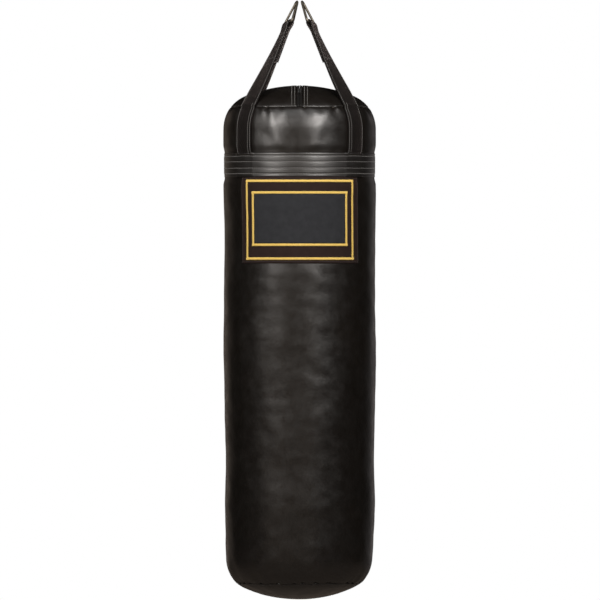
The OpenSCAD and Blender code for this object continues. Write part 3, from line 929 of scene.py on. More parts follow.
def thread_tree():
    """Geometry Nodes tree that lays threads along rows, at an even pitch."""
    name = "thread_rows"
    if name in bpy.data.node_groups:
        return bpy.data.node_groups[name]
    tree = bpy.data.node_groups.new(name, "GeometryNodeTree")
    for label, kind in (
        ("Rows", "NodeSocketGeometry"),
        ("Pitch", "NodeSocketFloat"),
        ("Length", "NodeSocketFloat"),
        ("Thickness", "NodeSocketFloat"),
        ("Variation", "NodeSocketFloat"),
        ("Seed", "NodeSocketInt"),
        ("Material", "NodeSocketMaterial"),
    ):
        tree.interface.new_socket(label, in_out="INPUT", socket_type=kind)
    tree.interface.new_socket(
        "Threads", in_out="OUTPUT", socket_type="NodeSocketGeometry"
    )
    into = add(tree, "NodeGroupInput").outputs
    curve = add(tree, "GeometryNodeMeshToCurve")
    feed(tree, curve.inputs["Mesh"], into["Rows"])
    points = add(tree, "GeometryNodeCurveToPoints", mode="LENGTH")
    feed(tree, points.inputs["Curve"], curve.outputs["Curve"])
    feed(tree, points.inputs["Length"], into["Pitch"])
    turns = []
    for label, axis, pivot in (("lie", "X", "AUTO"), ("face", "Z", "X")):
        way = add(tree, "GeometryNodeInputNamedAttribute", data_type="FLOAT_VECTOR")
        way.inputs["Name"].default_value = label
        turn = add(
            tree, "FunctionNodeAlignRotationToVector", axis=axis, pivot_axis=pivot
        )
        feed(tree, turn.inputs["Vector"], way.outputs["Attribute"])
        if turns:
            feed(tree, turn.inputs["Rotation"], turns[-1].outputs["Rotation"])
        turns.append(turn)
    vary = add(tree, "FunctionNodeRandomValue", data_type="FLOAT")
    least = calc(tree, "SUBTRACT", 1.0, into["Variation"])
    most = calc(tree, "ADD", 1.0, into["Variation"])
    for socket, item in (("Min", least), ("Max", most), ("Seed", into["Seed"])):
        found = [s for s in vary.inputs if s.name == socket and s.enabled]
        feed(tree, found[0], item)
    change = [s for s in vary.outputs if s.enabled][0]
    thick = calc(tree, "MULTIPLY", into["Thickness"], change)
    size = add(tree, "ShaderNodeCombineXYZ")
    feed(tree, size.inputs["X"], into["Length"])
    feed(tree, size.inputs["Y"], thick)
    feed(tree, size.inputs["Z"], into["Thickness"])
    thread = add(tree, "GeometryNodeMeshUVSphere")
    for label, count in (("Segments", 6), ("Rings", 4), ("Radius", 0.5)):
        thread.inputs[label].default_value = count
    round_off = add(tree, "GeometryNodeSetShadeSmooth")
    feed(tree, round_off.inputs["Geometry"], thread.outputs["Mesh"])
    laid = add(tree, "GeometryNodeInstanceOnPoints")
    feed(tree, laid.inputs["Points"], points.outputs["Points"])
    feed(tree, laid.inputs["Instance"], round_off.outputs["Geometry"])
    feed(tree, laid.inputs["Rotation"], turns[-1].outputs["Rotation"])
    feed(tree, laid.inputs["Scale"], size.outputs[0])
    real = add(tree, "GeometryNodeRealizeInstances")
    feed(tree, real.inputs["Geometry"], laid.outputs["Instances"])
    dyed = add(tree, "GeometryNodeSetMaterial")
    feed(tree, dyed.inputs["Geometry"], real.outputs["Geometry"])
    feed(tree, dyed.inputs["Material"], into["Material"])
    out = add(tree, "NodeGroupOutput")
    feed(tree, out.inputs["Threads"], dyed.outputs["Geometry"])
    return tree


def row(points, faces, lie=None):
    """One row: its points, the way each thread lies and the way it faces."""
    points, faces = np.asarray(points), np.asarray(faces)
    lies = np.gradient(points, axis=0) if lie is None else np.asarray(lie)
    return points, np.broadcast_to(lies, points.shape), faces


def stitch(belt, share=1.0, thin=1.0):
    """Pitch, length and thickness of a stitch, against those of the belt."""
    return share * belt.stitch_pitch, share * belt.stitch_l, thin * belt.thread_d


def sew(name, rows, material, pitch, size, thickness, variation=0.12, seed=3):
    """Lays threads along rows and returns them as one plain mesh piece."""
    points = np.concatenate([r[0] for r in rows])
    edges, first = [], 0
    for r in rows:
        edges += [(first + i, first + i + 1) for i in range(len(r[0]) - 1)]
        first += len(r[0])
    mesh = bpy.data.meshes.new(name)
    mesh.from_pydata([tuple(p) for p in points], edges, [])
    for label, part in (("lie", 1), ("face", 2)):
        ways = np.concatenate([r[part] for r in rows]).astype(np.float32)
        attribute = mesh.attributes.new(label, "FLOAT_VECTOR", "POINT")
        attribute.data.foreach_set("vector", ways.ravel())
    obj = link(name + "_rows", mesh)
    tree = thread_tree()
    names = {
        item.name: item.identifier
        for item in tree.interface.items_tree
        if item.in_out == "INPUT"
    }
    modifier = obj.modifiers.new("threads", "NODES")
    modifier.node_group = tree
    for label, setting in dict(
        Pitch=pitch,
        Length=size,
        Thickness=thickness,
        Variation=variation,
        Seed=seed,
        Material=material,
    ).items():
        modifier[names[label]] = setting
    sewn = baked(obj, name)
    if not sewn.data.polygons:
        raise RuntimeError(f"{name}: no threads were laid")
    return sewn


# Sheets on the cover


def stations(*runs):
    """Lengths from run to run, each run given as its start, its end and its step."""
    parts = [
        np.linspace(start, end, max(2, int(round((end - start) / step)) + 1))[:-1]
        for start, end, step in runs
    ]
    return np.concatenate(parts + [[runs[-1][1]]])


def rounds(columns):
    """Angles round the bag."""
    return np.linspace(-math.pi, math.pi, columns, endpoint=False)


def length_map(theta, s):
    """A map in metres: round the wall and down the outline."""
    return stacked(theta * BAG_R, s).reshape(-1, 2)


def tube_sheet(name, surface, s, columns, lift=0.0, crown=False, base=False):
    """A sheet round the bag, lifted off the cover, closed at crown or base if asked."""
    theta = rounds(columns)
    points = surface.points(theta[None, :], s[:, None], lift).reshape(-1, 3)
    uvs = length_map(theta[None, :], s[:, None])
    faces = tube_faces(len(s), columns)
    for asked, ring in ((crown, 0), (base, (len(s) - 1) * columns)):
        if not asked:
            continue
        points = np.vstack([points, points[ring : ring + columns].mean(axis=0)])
        uvs = np.vstack([uvs, uvs[ring]])
        tip = len(points) - 1
        for j in range(columns):
            a, b = ring + j, ring + (j + 1) % columns
            faces.append((tip, a, b) if ring == 0 else (tip, b, a))
    return sheet(name, points, faces, uvs)


def patch_sheet(name, points, uvs):
    """A sheet from a grid of points, rows running down and columns to the right."""
    rows, columns = points.shape[:2]
    faces = [
        (a, a + columns, a + columns + 1, a + 1)
        for i in range(rows - 1)
        for a in range(i * columns, (i + 1) * columns - 1)
    ]
    return sheet(name, points.reshape(-1, 3), faces, uvs.reshape(-1, 2))


def thickened(obj, thickness, name):
    """Gives a sheet its thickness, inwards from its face."""
    wall = obj.modifiers.new("wall", "SOLIDIFY")
    wall.thickness = thickness
    wall.offset = -1.0
    return baked(obj, name)


def cut(obj, place, normal):
    """Cuts a sheet along a plane and keeps the side that the normal points to."""
    work = bmesh.new()
    work.from_mesh(obj.data)
    everything = work.verts[:] + work.edges[:] + work.faces[:]
    bmesh.ops.bisect_plane(
        work, geom=everything, plane_co=place, plane_no=normal, clear_inner=True
    )
    work.to_mesh(obj.data)
    work.free()


# Pieces


def surface_of(context):
    """The cover's surface at the sizes in the sidebar."""
    scene = context.scene
    return CoverSurface(scene.heavy_bag_cover, scene.heavy_bag_strap)


SEAM_HALF = 0.0002
CROWN_HOLE = 0.004
# Lengths with finer faces: under the top seam, beside the belt, above the base
TOP_FINE_L = 0.028
BELT_FINE_L = 0.02
BASE_FINE_L = 0.03
PANEL_FINE_L = 0.02
# Lengths of one face from the top seam down the wall, on the crown and on the base
WALL_STEPS = (0.0022, 0.0045, 0.0035, 0.0085, 0.0026)
CROWN_STEPS = (0.0045, 0.0022)
BASE_STEPS = (0.0025, 0.006)
BELT_SEAM_ROWS = (0.10, 0.367, 0.637, 0.90)
BELT_EDGE = 0.0005
BELT_SKIN = 0.0008
BELT_ROUND = 14
BELT_STEPS = 41
# Share of even steps across the belt, the rest drawn towards its edges
BELT_EVEN = 0.65
BELT_BACK_STEP = 8
BELT_BACK_LIFT = 0.0002
BELT_BACK_STRAP = 0.0032
SEAM_ROW_WIDTH = 0.045
STRAP_END_FADE = 0.08
# Distance from a strap's edge at which the belt starts to rise over it, and its length
BUMP_PAST = 0.009
BUMP_FADE = 0.007
# Share of the thread that stands out of the belt
THREAD_OUT = 0.15


class HEAVYBAG_OT_side_cover(bpy.types.Operator):
    """Make the stuffed side wall, with lumps, dimples and gathers at both seams"""

    bl_idname = "heavybag.side_cover"
    bl_label = "Side cover"

    def execute(self, context):
        surface = surface_of(context)
        cover = surface.cover
        belt_s = surface.length_at(np.array([BELT_HIGH, BELT_LOW]))
        top, low = surface.top_seam + SEAM_HALF, surface.base_seam - SEAM_HALF
        ends = (
            top,
            top + TOP_FINE_L,
            belt_s[0] - BELT_FINE_L,
            belt_s[1] + BELT_FINE_L,
            low - BASE_FINE_L,
            low,
        )
        s = stations(*zip(ends, ends[1:], WALL_STEPS))
        wall = tube_sheet("wall_sheet", surface, s, cover.columns)
        wall = thickened(wall, cover.cover_t, "stuffed_wall")
        set_finish(wall, finish("cover_skin"), "cover_vinyl", "bag", "side_cover")
        return {"FINISHED"}


class HEAVYBAG_OT_end_panels(bpy.types.Operator):
    """Make the two halves of the top panel beside the zip, and the domed base panel"""

    bl_idname = "heavybag.end_panels"
    bl_label = "Top and base panels"

    def execute(self, context):
        surface = surface_of(context)
        cover = surface.cover
        top = surface.top_seam - SEAM_HALF
        ends = (CROWN_HOLE, top - PANEL_FINE_L, top)
        s = stations(*zip(ends, ends[1:], CROWN_STEPS))
        for name, side in (("left", -1.0), ("right", 1.0)):
            half = tube_sheet("crown_sheet", surface, s, cover.columns, crown=True)
            cut(half, (side * SLOT_HALF, 0.0, 0.0), (side, 0.0, 0.0))
            half = thickened(half, cover.cover_t, f"crown_half_{name}")
            node = f"top_panel_{name}"
            set_finish(half, finish("cover_skin"), "cover_vinyl", "bag", node)
        low = surface.base_seam + SEAM_HALF
        ends = (low, low + PANEL_FINE_L, surface.end - CROWN_HOLE)
        s = stations(*zip(ends, ends[1:], BASE_STEPS))
        base = tube_sheet("base_sheet", surface, s, cover.columns // 2, base=True)
        base = thickened(base, cover.cover_t, "base_dome")
        set_finish(base, finish("cover_skin"), "cover_vinyl", "bag", "bottom_panel")
        return {"FINISHED"}


def strap_mask(surface, theta, r):
    """1 over a strap, 0 away from the straps."""
    mask = np.zeros_like(theta * r)
    for turn in surface.straps.values():
        side = np.abs(turned(theta, turn) * r)
        mask = mask + smooth((surface.half_strap + BUMP_PAST - side) / BUMP_FADE)
    return np.clip(mask, 0.0, 1.0)


def belt_z(share):
    """Height at a share of the belt's width from the top."""
    return BELT_HIGH + (BELT_LOW - BELT_HIGH) * share


def belt_lift(surface, belt, strap, theta, share):
    """Height of the belt's face over the cover, at a share of its width."""
    from_middle = np.abs(2.0 * share - 1.0)
    edge = np.sqrt(np.clip(1.0 - from_middle**BELT_ROUND, 0.0, 1.0))
    puffs = np.ones_like(share)
    for line in BELT_SEAM_ROWS:
        puffs = puffs - bump_at(share - line, SEAM_ROW_WIDTH)
    mask = strap_mask(surface, theta, BAG_R)
    draw = surface.draw_in(belt_z(share))
    face = draw - surface.cover.belt_sink + belt.rise + belt.puff * puffs
    plain = BELT_EDGE + edge * (face - BELT_EDGE + belt.strap_bump * mask)
    over = strap.lift + strap.thickness + BELT_SKIN
    tucked = strap.tuck / (BELT_HIGH - BELT_LOW)
    end = smooth((tucked + STRAP_END_FADE - share) / STRAP_END_FADE)
    return np.maximum(plain, mask * end * (over + 0.5 * BELT_SKIN * edge))


class HEAVYBAG_OT_belt(bpy.types.Operator):
    """Make the belt that holds the strap ends, with its four rows of stitches"""

    bl_idname = "heavybag.belt"
    bl_label = "Belt"

    def execute(self, context):
        surface = surface_of(context)
        belt = context.scene.heavy_bag_belt
        strap = context.scene.heavy_bag_strap
        columns = surface.cover.columns
        theta = rounds(columns)[:, None]
        share = np.sin(np.linspace(-0.5, 0.5, BELT_STEPS) * math.pi) * 0.5 + 0.5
        even = np.linspace(0, 1, BELT_STEPS)
        inner = share * (1.0 - BELT_EVEN) + even * BELT_EVEN
        share[1:-1] = inner[1:-1]
        share = share[None, :]
        s = surface.length_at(belt_z(share))
        lift = belt_lift(surface, belt, strap, theta, share)
        face = surface.points(theta, s, lift)
        mask = strap_mask(surface, theta, BAG_R)
        held = BELT_BACK_LIFT + BELT_BACK_STRAP * mask
        back = surface.points(theta, s[:, ::-BELT_BACK_STEP], held)
        points = np.concatenate([face, back], axis=1)
        faces = tube_faces(columns, points.shape[1], closed=True)
        band = piece("sewn_belt", points.reshape(-1, 3), faces)
        set_finish(band, finish("belt_skin"), "belt_vinyl", "bag", "belt")
        rows = []
        theta = np.linspace(-math.pi, math.pi, 2 * columns + 1)
        for line in BELT_SEAM_ROWS:
            share = np.full_like(theta, line)
            s = surface.length_at(belt_z(share))
            lift = belt_lift(surface, belt, strap, theta, share)
            lift = lift + THREAD_OUT * belt.thread_d
            points = surface.points(theta, s, lift)
            rows.append(row(points, surface.normals(theta, s)))
        thread = finish("sewing_thread")
        sewn = sew("belt_stitches", rows, thread, *stitch(belt))
        declare(sewn, "webbing", "bag")
        return {"FINISHED"}


# Webbing section: place across the half width and through the thickness, with a dip
# under each edge row
WEB_SECTION = (
    (-1.0, 0.5),
    (-0.985, 0.85),
    (-0.95, 1.0),
    (-0.90, 0.92),
    (-0.85, 1.0),
    (-0.5, 1.0),
    (0.0, 1.0),
    (0.5, 1.0),
    (0.85, 1.0),
    (0.90, 0.92),
    (0.95, 1.0),
    (0.985, 0.85),
    (1.0, 0.5),
    (0.985, 0.15),
    (0.95, 0.0),
    (0.5, 0.0),
    (0.0, 0.0),
    (-0.5, 0.0),
    (-0.95, 0.0),
    (-0.985, 0.15),
)
EDGE_ROW = 0.90
INNER_ROW = -0.62
WEB_STEP = 0.0045
LOOP_STEPS = 15
LAYER_SPACE = 0.0001
FLATTEN_L = 0.045
# Places across a strap that feel the cover, stations that share a height, their fade
REST_PLACES = 9
REST_SPAN = 7
REST_FADE = 0.015
# Stitches on a strap: height in thicknesses, and places of the two rows across the tail
ROW_OUT = 1.06
TAIL_ROW_IN = 0.03
MOUTH_ROW = 1.25
TAIL_ROW_POINTS = 24
# Pitch and length, and thickness, of the strap stitches against those of the belt
STRAP_STITCH = (0.8, 0.75)


class StrapPath:
    """One strap: sewn over the shoulder, free up to its ring, round it and back."""

    def __init__(self, surface, strap, name):
        self.surface, self.strap = surface, strap
        self.signs = np.array([*CORNERS[name], 1.0])
        self.turn = surface.straps[name]
        hinge = np.array(JOINTS[f"strap_{name}_fold"]["pos_m"]) * self.signs
        self.bar = np.array(JOINTS[f"ring_{name}_swing"]["pos_m"]) * self.signs
        self.pull = unit(np.array(strap.ring_top) - self.bar)
        out = unit(np.array([hinge[0], hinge[1], 0.0]))
        up = np.array([0.0, 0.0, 1.0])
        seam = surface.cover.top_seam
        self.along = np.array([out[1], -out[0], 0.0])
        self.rise = math.cos(seam) * up - math.sin(seam) * out
        self.length = np.linalg.norm(self.bar - hinge)
        third = self.length / 3.0
        self.controls = (
            hinge,
            hinge + third * self.rise,
            self.bar - third * self.pull,
            self.bar,
        )
        self.bore = strap.wire_d / 2 + strap.turn_gap
        self.hinge = hinge * self.signs
        self.rise_way = self.rise * self.signs
        self.tail_end = 1.0 - strap.tail / self.length
        low = surface.length_at(BELT_HIGH - strap.tuck)
        count = int((low - surface.top_seam) / WEB_STEP)
        self.sewn_s = np.linspace(low, surface.top_seam, count, endpoint=False)
        self.sewn_lift = self.rests(self.sewn_s)

    def sewn_theta(self, s, x):
        """Angle round the bag of points across the sewn part."""
        r = self.surface.at(s)[0]
        return self.turn - self.signs[0] * self.signs[1] * x / r

    def rests(self, s):
        """Height at which the sewn part lies over the dents of the cover."""
        x = np.linspace(-0.5, 0.5, REST_PLACES)[None, :] * self.strap.width
        theta = self.sewn_theta(s[:, None], x)
        r, z, _, _ = self.surface.at(s)
        dents = self.surface.dents(theta, s[:, None], r[:, None], z[:, None])
        high = dents.max(axis=1)
        longer = np.pad(high, REST_SPAN // 2, mode="edge")
        soft = np.convolve(longer, np.full(REST_SPAN, 1 / REST_SPAN), "valid")
        past = smooth((s - self.surface.top_seam) / REST_FADE)
        return np.maximum(high, soft) * past

    def sewn(self, i, x, h):
        """Points on the sewn part at one station."""
        s = np.full_like(x, self.sewn_s[i])
        lift = self.strap.lift + self.sewn_lift[i] + h
        return self.surface.points(self.sewn_theta(s, x), s, lift, dented=False)

    def frame_at(self, t):
        """Place, way, width and face of the free part, in the corner's own frame."""
        c = self.controls
        place = (
            (1 - t) ** 3 * c[0]
            + 3 * t * (1 - t) ** 2 * c[1]
            + 3 * t * t * (1 - t) * c[2]
            + t**3 * c[3]
        )
        way = unit(
            (1 - t) ** 2 * (c[1] - c[0])
            + 2 * t * (1 - t) * (c[2] - c[1])
            + t * t * (c[3] - c[2])
        )
        flat = unit(self.along - np.dot(self.along, way) * way)
        turn = self.strap.twist * float(smooth(t))
        width = math.cos(turn) * flat - math.sin(turn) * np.cross(way, flat)
        return place, way, width, np.cross(way, width)

    def leaf(self, t, x, h, side=1.0):
        """Points on the outer layer, or on the tail with side -1."""
        place, _, width, face = self.frame_at(t)
        mouth = 1.0 - (1.0 - t) * self.length / self.strap.flare_l
        apart = LAYER_SPACE + (self.bore - LAYER_SPACE) * float(smooth(mouth))
        r = self.surface.at(self.surface.top_seam)[0]
        sag = x**2 / (2 * r) * (1.0 - float(smooth(t * self.length / FLATTEN_L)))
        out = side * (apart + h) - sag
        points = place + x[:, None] * width + out[:, None] * face
        return points * self.signs

    def loop(self, turn, x, h):
        """Points round the ring's bar."""
        _, way, width, face = self.frame_at(1.0)
        out = math.cos(turn) * face + math.sin(turn) * way
        points = self.bar + x[:, None] * width + (self.bore + h)[:, None] * out
        return points * self.signs

    def stretch(self):
        """All stations from under the belt to the end of the tail, as point makers."""
        free = np.linspace(0.0, 1.0, int(self.length / WEB_STEP), endpoint=False)
        tail = np.linspace(1.0, self.tail_end, int(self.strap.tail / WEB_STEP) + 1)
        turns = np.linspace(0, math.pi, LOOP_STEPS)
        sewn_count = len(self.sewn_s)
        makers = [lambda x, h, i=i: self.sewn(i, x, h) for i in range(sewn_count)]
        makers += [lambda x, h, t=t: self.leaf(t, x, h) for t in free]
        makers += [lambda x, h, a=a: self.loop(a, x, h) for a in turns]
        makers += [lambda x, h, t=t: self.leaf(t, x, h, -1.0) for t in tail[1:]]
        return makers, sewn_count, sewn_count + len(free)


def strap_rows(path, makers, sewn_count, free_end):
    """Rows of stitches: both edges, one on the shoulder and two across the tail."""
    strap = path.strap
    half, top = strap.width / 2, np.array([strap.thickness * ROW_OUT])

    def line(x, chosen):
        """A row along the strap, at a place across its width."""
        at = np.array([x])
        points = np.array([m(at, top)[0] for m in chosen])
        below = np.array([m(at, top * 0.5)[0] for m in chosen])
        return row(points, points - below)

    rows = [line(side * EDGE_ROW * half, makers[:free_end]) for side in (-1.0, 1.0)]
    rows.append(line(INNER_ROW * half, makers[: sewn_count + 2]))
    tail = makers[free_end + LOOP_STEPS :]
    rows += [line(side * EDGE_ROW * half, tail) for side in (-1.0, 1.0)]
    x = np.linspace(-EDGE_ROW, EDGE_ROW, TAIL_ROW_POINTS) * half
    mouth = 1.0 - strap.flare_l * MOUTH_ROW / path.length
    for t in (path.tail_end + TAIL_ROW_IN, mouth):
        for side in (1.0, -1.0):
            points = path.leaf(t, x, np.full_like(x, top[0]), side)
            below = path.leaf(t, x, np.full_like(x, 0.5 * top[0]), side)
            rows.append(row(points, points - below))
    return rows


class HEAVYBAG_OT_straps(bpy.types.Operator):
    """Make the four webbing straps, each one length round its ring and back"""

    bl_idname = "heavybag.straps"
    bl_label = "Straps"

    def execute(self, context):
        surface = surface_of(context)
        strap = context.scene.heavy_bag_strap
        belt = context.scene.heavy_bag_belt
        section = np.array(WEB_SECTION)
        x, h = section[:, 0] * strap.width / 2, section[:, 1] * strap.thickness
        around = len(section)
        for name in CORNERS:
            path = StrapPath(surface, strap, name)
            makers, sewn_count, free_end = path.stretch()
            rings = np.array([make(x, h) for make in makers])
            steps = np.diff(rings.mean(axis=1), axis=0)
            run = np.append(0.0, np.cumsum(np.linalg.norm(steps, axis=1)))
            uvs = stacked(run[:, None], x[None, :]).reshape(-1, 2)
            count = len(makers)
            faces = tube_faces(count, around)
            faces.append(tuple(range(around)))
            faces.append(tuple(range((count - 1) * around, count * around)))
            web = piece(f"webbing_{name}", rings.reshape(-1, 3), faces, uvs)
            set_finish(web, finish("strap_web"), "webbing", None)
            sewn = sew(
                f"webbing_stitches_{name}",
                strap_rows(path, makers, sewn_count, free_end),
                finish("sewing_thread"),
                *stitch(belt, *STRAP_STITCH),
            )
            declare(sewn, "webbing", None)
            for part in (web, sewn):
                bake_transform(part)
            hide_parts(f"strap_{name}", f"strap_anchor_{name}")
        return {"FINISHED"}


RING_STEPS = 14
TOP_STEPS = 18
BAR_STEPS = 34
WIRE_SIDES = 14
WELD_L = 0.0022
WELD_H = 0.10


class HEAVYBAG_OT_rings(bpy.types.Operator):
    """Make the four delta rings of bent wire, each with a weld on its bar"""

    bl_idname = "heavybag.rings"
    bl_label = "Rings"

    def outline(self, strap):
        """The wire's middle in the ring's plane: places and outward directions."""
        height = strap.ring_h - strap.top_r - strap.corner_r
        leg = math.atan2(strap.bar_half, height)
        span = math.hypot(strap.bar_half, height)
        leg += math.asin((strap.corner_r - strap.top_r) / span)
        lower = np.linspace(-math.pi / 2, leg, RING_STEPS)
        upper = np.linspace(leg, math.pi - leg, TOP_STEPS)
        arcs = (
            ((strap.bar_half, strap.corner_r), strap.corner_r, lower),
            ((0.0, strap.ring_h - strap.top_r), strap.top_r, upper),
            ((-strap.bar_half, strap.corner_r), strap.corner_r, math.pi - lower[::-1]),
        )
        places, outs = [], []
        for middle, radius, turns in arcs:
            ways = np.stack([np.cos(turns), np.sin(turns)], axis=1)
            places.append(np.array(middle) + radius * ways)
            outs.append(ways)
        bar = np.linspace(-strap.bar_half, strap.bar_half, BAR_STEPS)[1:-1]
        places.append(np.stack([bar, np.zeros_like(bar)], axis=1))
        outs.append(np.tile([0.0, -1.0], (len(bar), 1)))
        return np.concatenate(places), np.concatenate(outs)

    def execute(self, context):
        surface = surface_of(context)
        strap = context.scene.heavy_bag_strap
        places, outs = self.outline(strap)
        weld = bump_at(places[:, 0], WELD_L) * (np.abs(places[:, 1]) < NEAR)
        radius = strap.wire_d / 2 * (1.0 + WELD_H * weld)
        turns = np.linspace(0.0, 2 * math.pi, WIRE_SIDES, endpoint=False)
        for name in CORNERS:
            path = StrapPath(surface, strap, name)
            _, way, width, face = path.frame_at(1.0)
            middle = path.bar + places[:, :1] * width + places[:, 1:] * way
            out = outs[:, :1] * width + outs[:, 1:] * way
            rings = (
                middle[:, None]
                + (radius[:, None] * np.cos(turns))[..., None] * out[:, None]
                + (radius[:, None] * np.sin(turns))[..., None] * face
            ) * path.signs
            faces = tube_faces(len(places), WIRE_SIDES, closed=True)
            wire = piece(f"wire_ring_{name}", rings.reshape(-1, 3), faces)
            body = f"ring_{name}"
            set_finish(wire, finish("ring_metal"), "ring_steel", body, body)
        return {"FINISHED"}


FIELD_RISE = 0.00060
STRAND_RISE = 0.00055
LABEL_ROW_IN = 0.0035
STRAND_LEAN = 0.2
STRAND_L = 1.25
PATCH_COLUMNS = 97
PATCH_ROWS = 65
PATCH_ROW_POINTS = 60
# Length and depth, in thicknesses, over which a patch is pressed down at its edge
PATCH_EDGE_L = 0.004
PATCH_EDGE_PRESS = 0.4
# Thickness of the ground and of the field against their rise
GROUND_SHARE = 0.9
FIELD_SHARE = 1.1
LABEL_STITCH = (0.7, 0.6)


class HEAVYBAG_OT_label(bpy.types.Operator):
    """Make the sewn label patch: ground, two embroidered frames and a plain field"""

    bl_idname = "heavybag.label"
    bl_label = "Label patch"

    def band(self, surface, name, width, low, high, lift, thickness):
        """A sewn piece of cloth on the front wall, with its edges pressed down."""
        theta = np.linspace(-0.5, 0.5, PATCH_COLUMNS)[None, :] * width / BAG_R
        z = np.linspace(high, low, PATCH_ROWS)[:, None]
        s = surface.length_at(z)
        beside = width / 2 - np.abs(theta) * BAG_R
        inset = np.minimum(beside, np.minimum(high - z, z - low))
        press = PATCH_EDGE_PRESS * thickness
        lift = lift - press * (1.0 - smooth(inset / PATCH_EDGE_L))
        points = surface.points(theta, s, lift)
        uvs = length_map(theta, s).reshape(*points.shape[:2], 2)
        return thickened(patch_sheet(f"{name}_sheet", points, uvs), thickness, name)

    def box_rows(self, surface, width, low, high, lift, line_w=0.0):
        """Four rows round a rectangle on the wall, or four lines of threads across."""
        half = width / 2 / BAG_R
        corners = ((-half, high), (half, high), (half, low), (-half, low))
        rows = []
        for (a, z0), (b, z1) in zip(corners, corners[1:] + corners[:1]):
            past = 0.5 * line_w / BAG_R * np.sign(b - a)
            theta = np.linspace(a - past, b + past, PATCH_ROW_POINTS)
            s = surface.length_at(np.linspace(z0, z1, PATCH_ROW_POINTS))
            points = surface.points(theta, s, lift)
            normals = surface.normals(theta, s)
            lie = None
            if line_w:
                way = np.gradient(points, axis=0)
                way = way / np.linalg.norm(way, axis=1)[:, None]
                lie = np.cross(normals, way) + STRAND_LEAN * way
            rows.append(row(points, normals, lie))
        return rows

    def execute(self, context):
        surface = surface_of(context)
        label = context.scene.heavy_bag_label
        belt = context.scene.heavy_bag_belt
        ground = self.band(
            surface,
            "label_cloth_patch",
            label.width,
            LABEL_LOW,
            LABEL_HIGH,
            label.rise,
            GROUND_SHARE * label.rise,
        )
        set_finish(ground, finish("label_weave"), "label_cloth", "bag", "label_ground")
        low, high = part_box("label_panel")
        width = label.inner_w - 2.0 * label.line_w
        field = self.band(
            surface,
            "label_plain_field",
            width,
            low.z,
            high.z,
            label.rise + FIELD_RISE,
            FIELD_SHARE * FIELD_RISE,
        )
        set_finish(field, finish("field_weave"), "label_field", "bag", "label_panel")
        for name, width in (("outer", label.frame_w), ("inner", label.inner_w)):
            node = f"label_frame_{name}"
            low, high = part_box(node)
            edge = label.line_w / 2
            rows = self.box_rows(
                surface,
                width - label.line_w,
                low.z + edge,
                high.z - edge,
                label.rise + STRAND_RISE,
                label.line_w,
            )
            threads = sew(
                f"gold_frame_{name}",
                rows,
                finish("gold_strand"),
                label.strand_pitch,
                STRAND_L * label.line_w,
                label.strand_d,
            )
            declare(threads, "gold_thread", "bag", node)
        rows = self.box_rows(
            surface,
            label.width - 2 * LABEL_ROW_IN,
            LABEL_LOW + LABEL_ROW_IN,
            LABEL_HIGH - LABEL_ROW_IN,
            label.rise,
        )
        thread = finish("seam_thread")
        sewn = sew("label_stitches", rows, thread, *stitch(belt, *LABEL_STITCH))
        declare(sewn, "label_cloth", "bag")
        return {"FINISHED"}


def crown_line(surface, x, reach, count, lift, dented=False):
    """Points and normals beside the zip's middle line, from front to back."""
    y = np.linspace(-reach, reach, count)
    r = np.hypot(x, y)
    upper = surface.s <= surface.top_seam
    s = np.interp(r, surface.r[upper], surface.s[upper])
    theta = np.arctan2(x, -y)
    return surface.points(theta, s, lift, dented), surface.normals(theta, s)


TAPE_DROP = 0.00235
TAPE_NEAR = 0.0002
TAPE_BULGE = 0.0022
TAPE_BULGE_FADE = 0.0015
TAPE_SHORT = 0.0005
TAPE_COLUMNS = 16
TAPE_POINTS = 90
COIL_LIFT = -0.0003
COIL_POINTS = 140
COIL_SHIFT = 0.6
COIL_VARIATION = 0.03
TOOTH_WAY = np.array([1.0, 0.0, 0.0])
# The slider's web between the two coil rows is made thinner, so that it runs clear
WEB_HALF = 0.0008
WEB_SHARE = 0.2
METAL_ANGLE = math.radians(40)
FLAT_ANGLE = math.radians(1)
NEAR = 1e-6


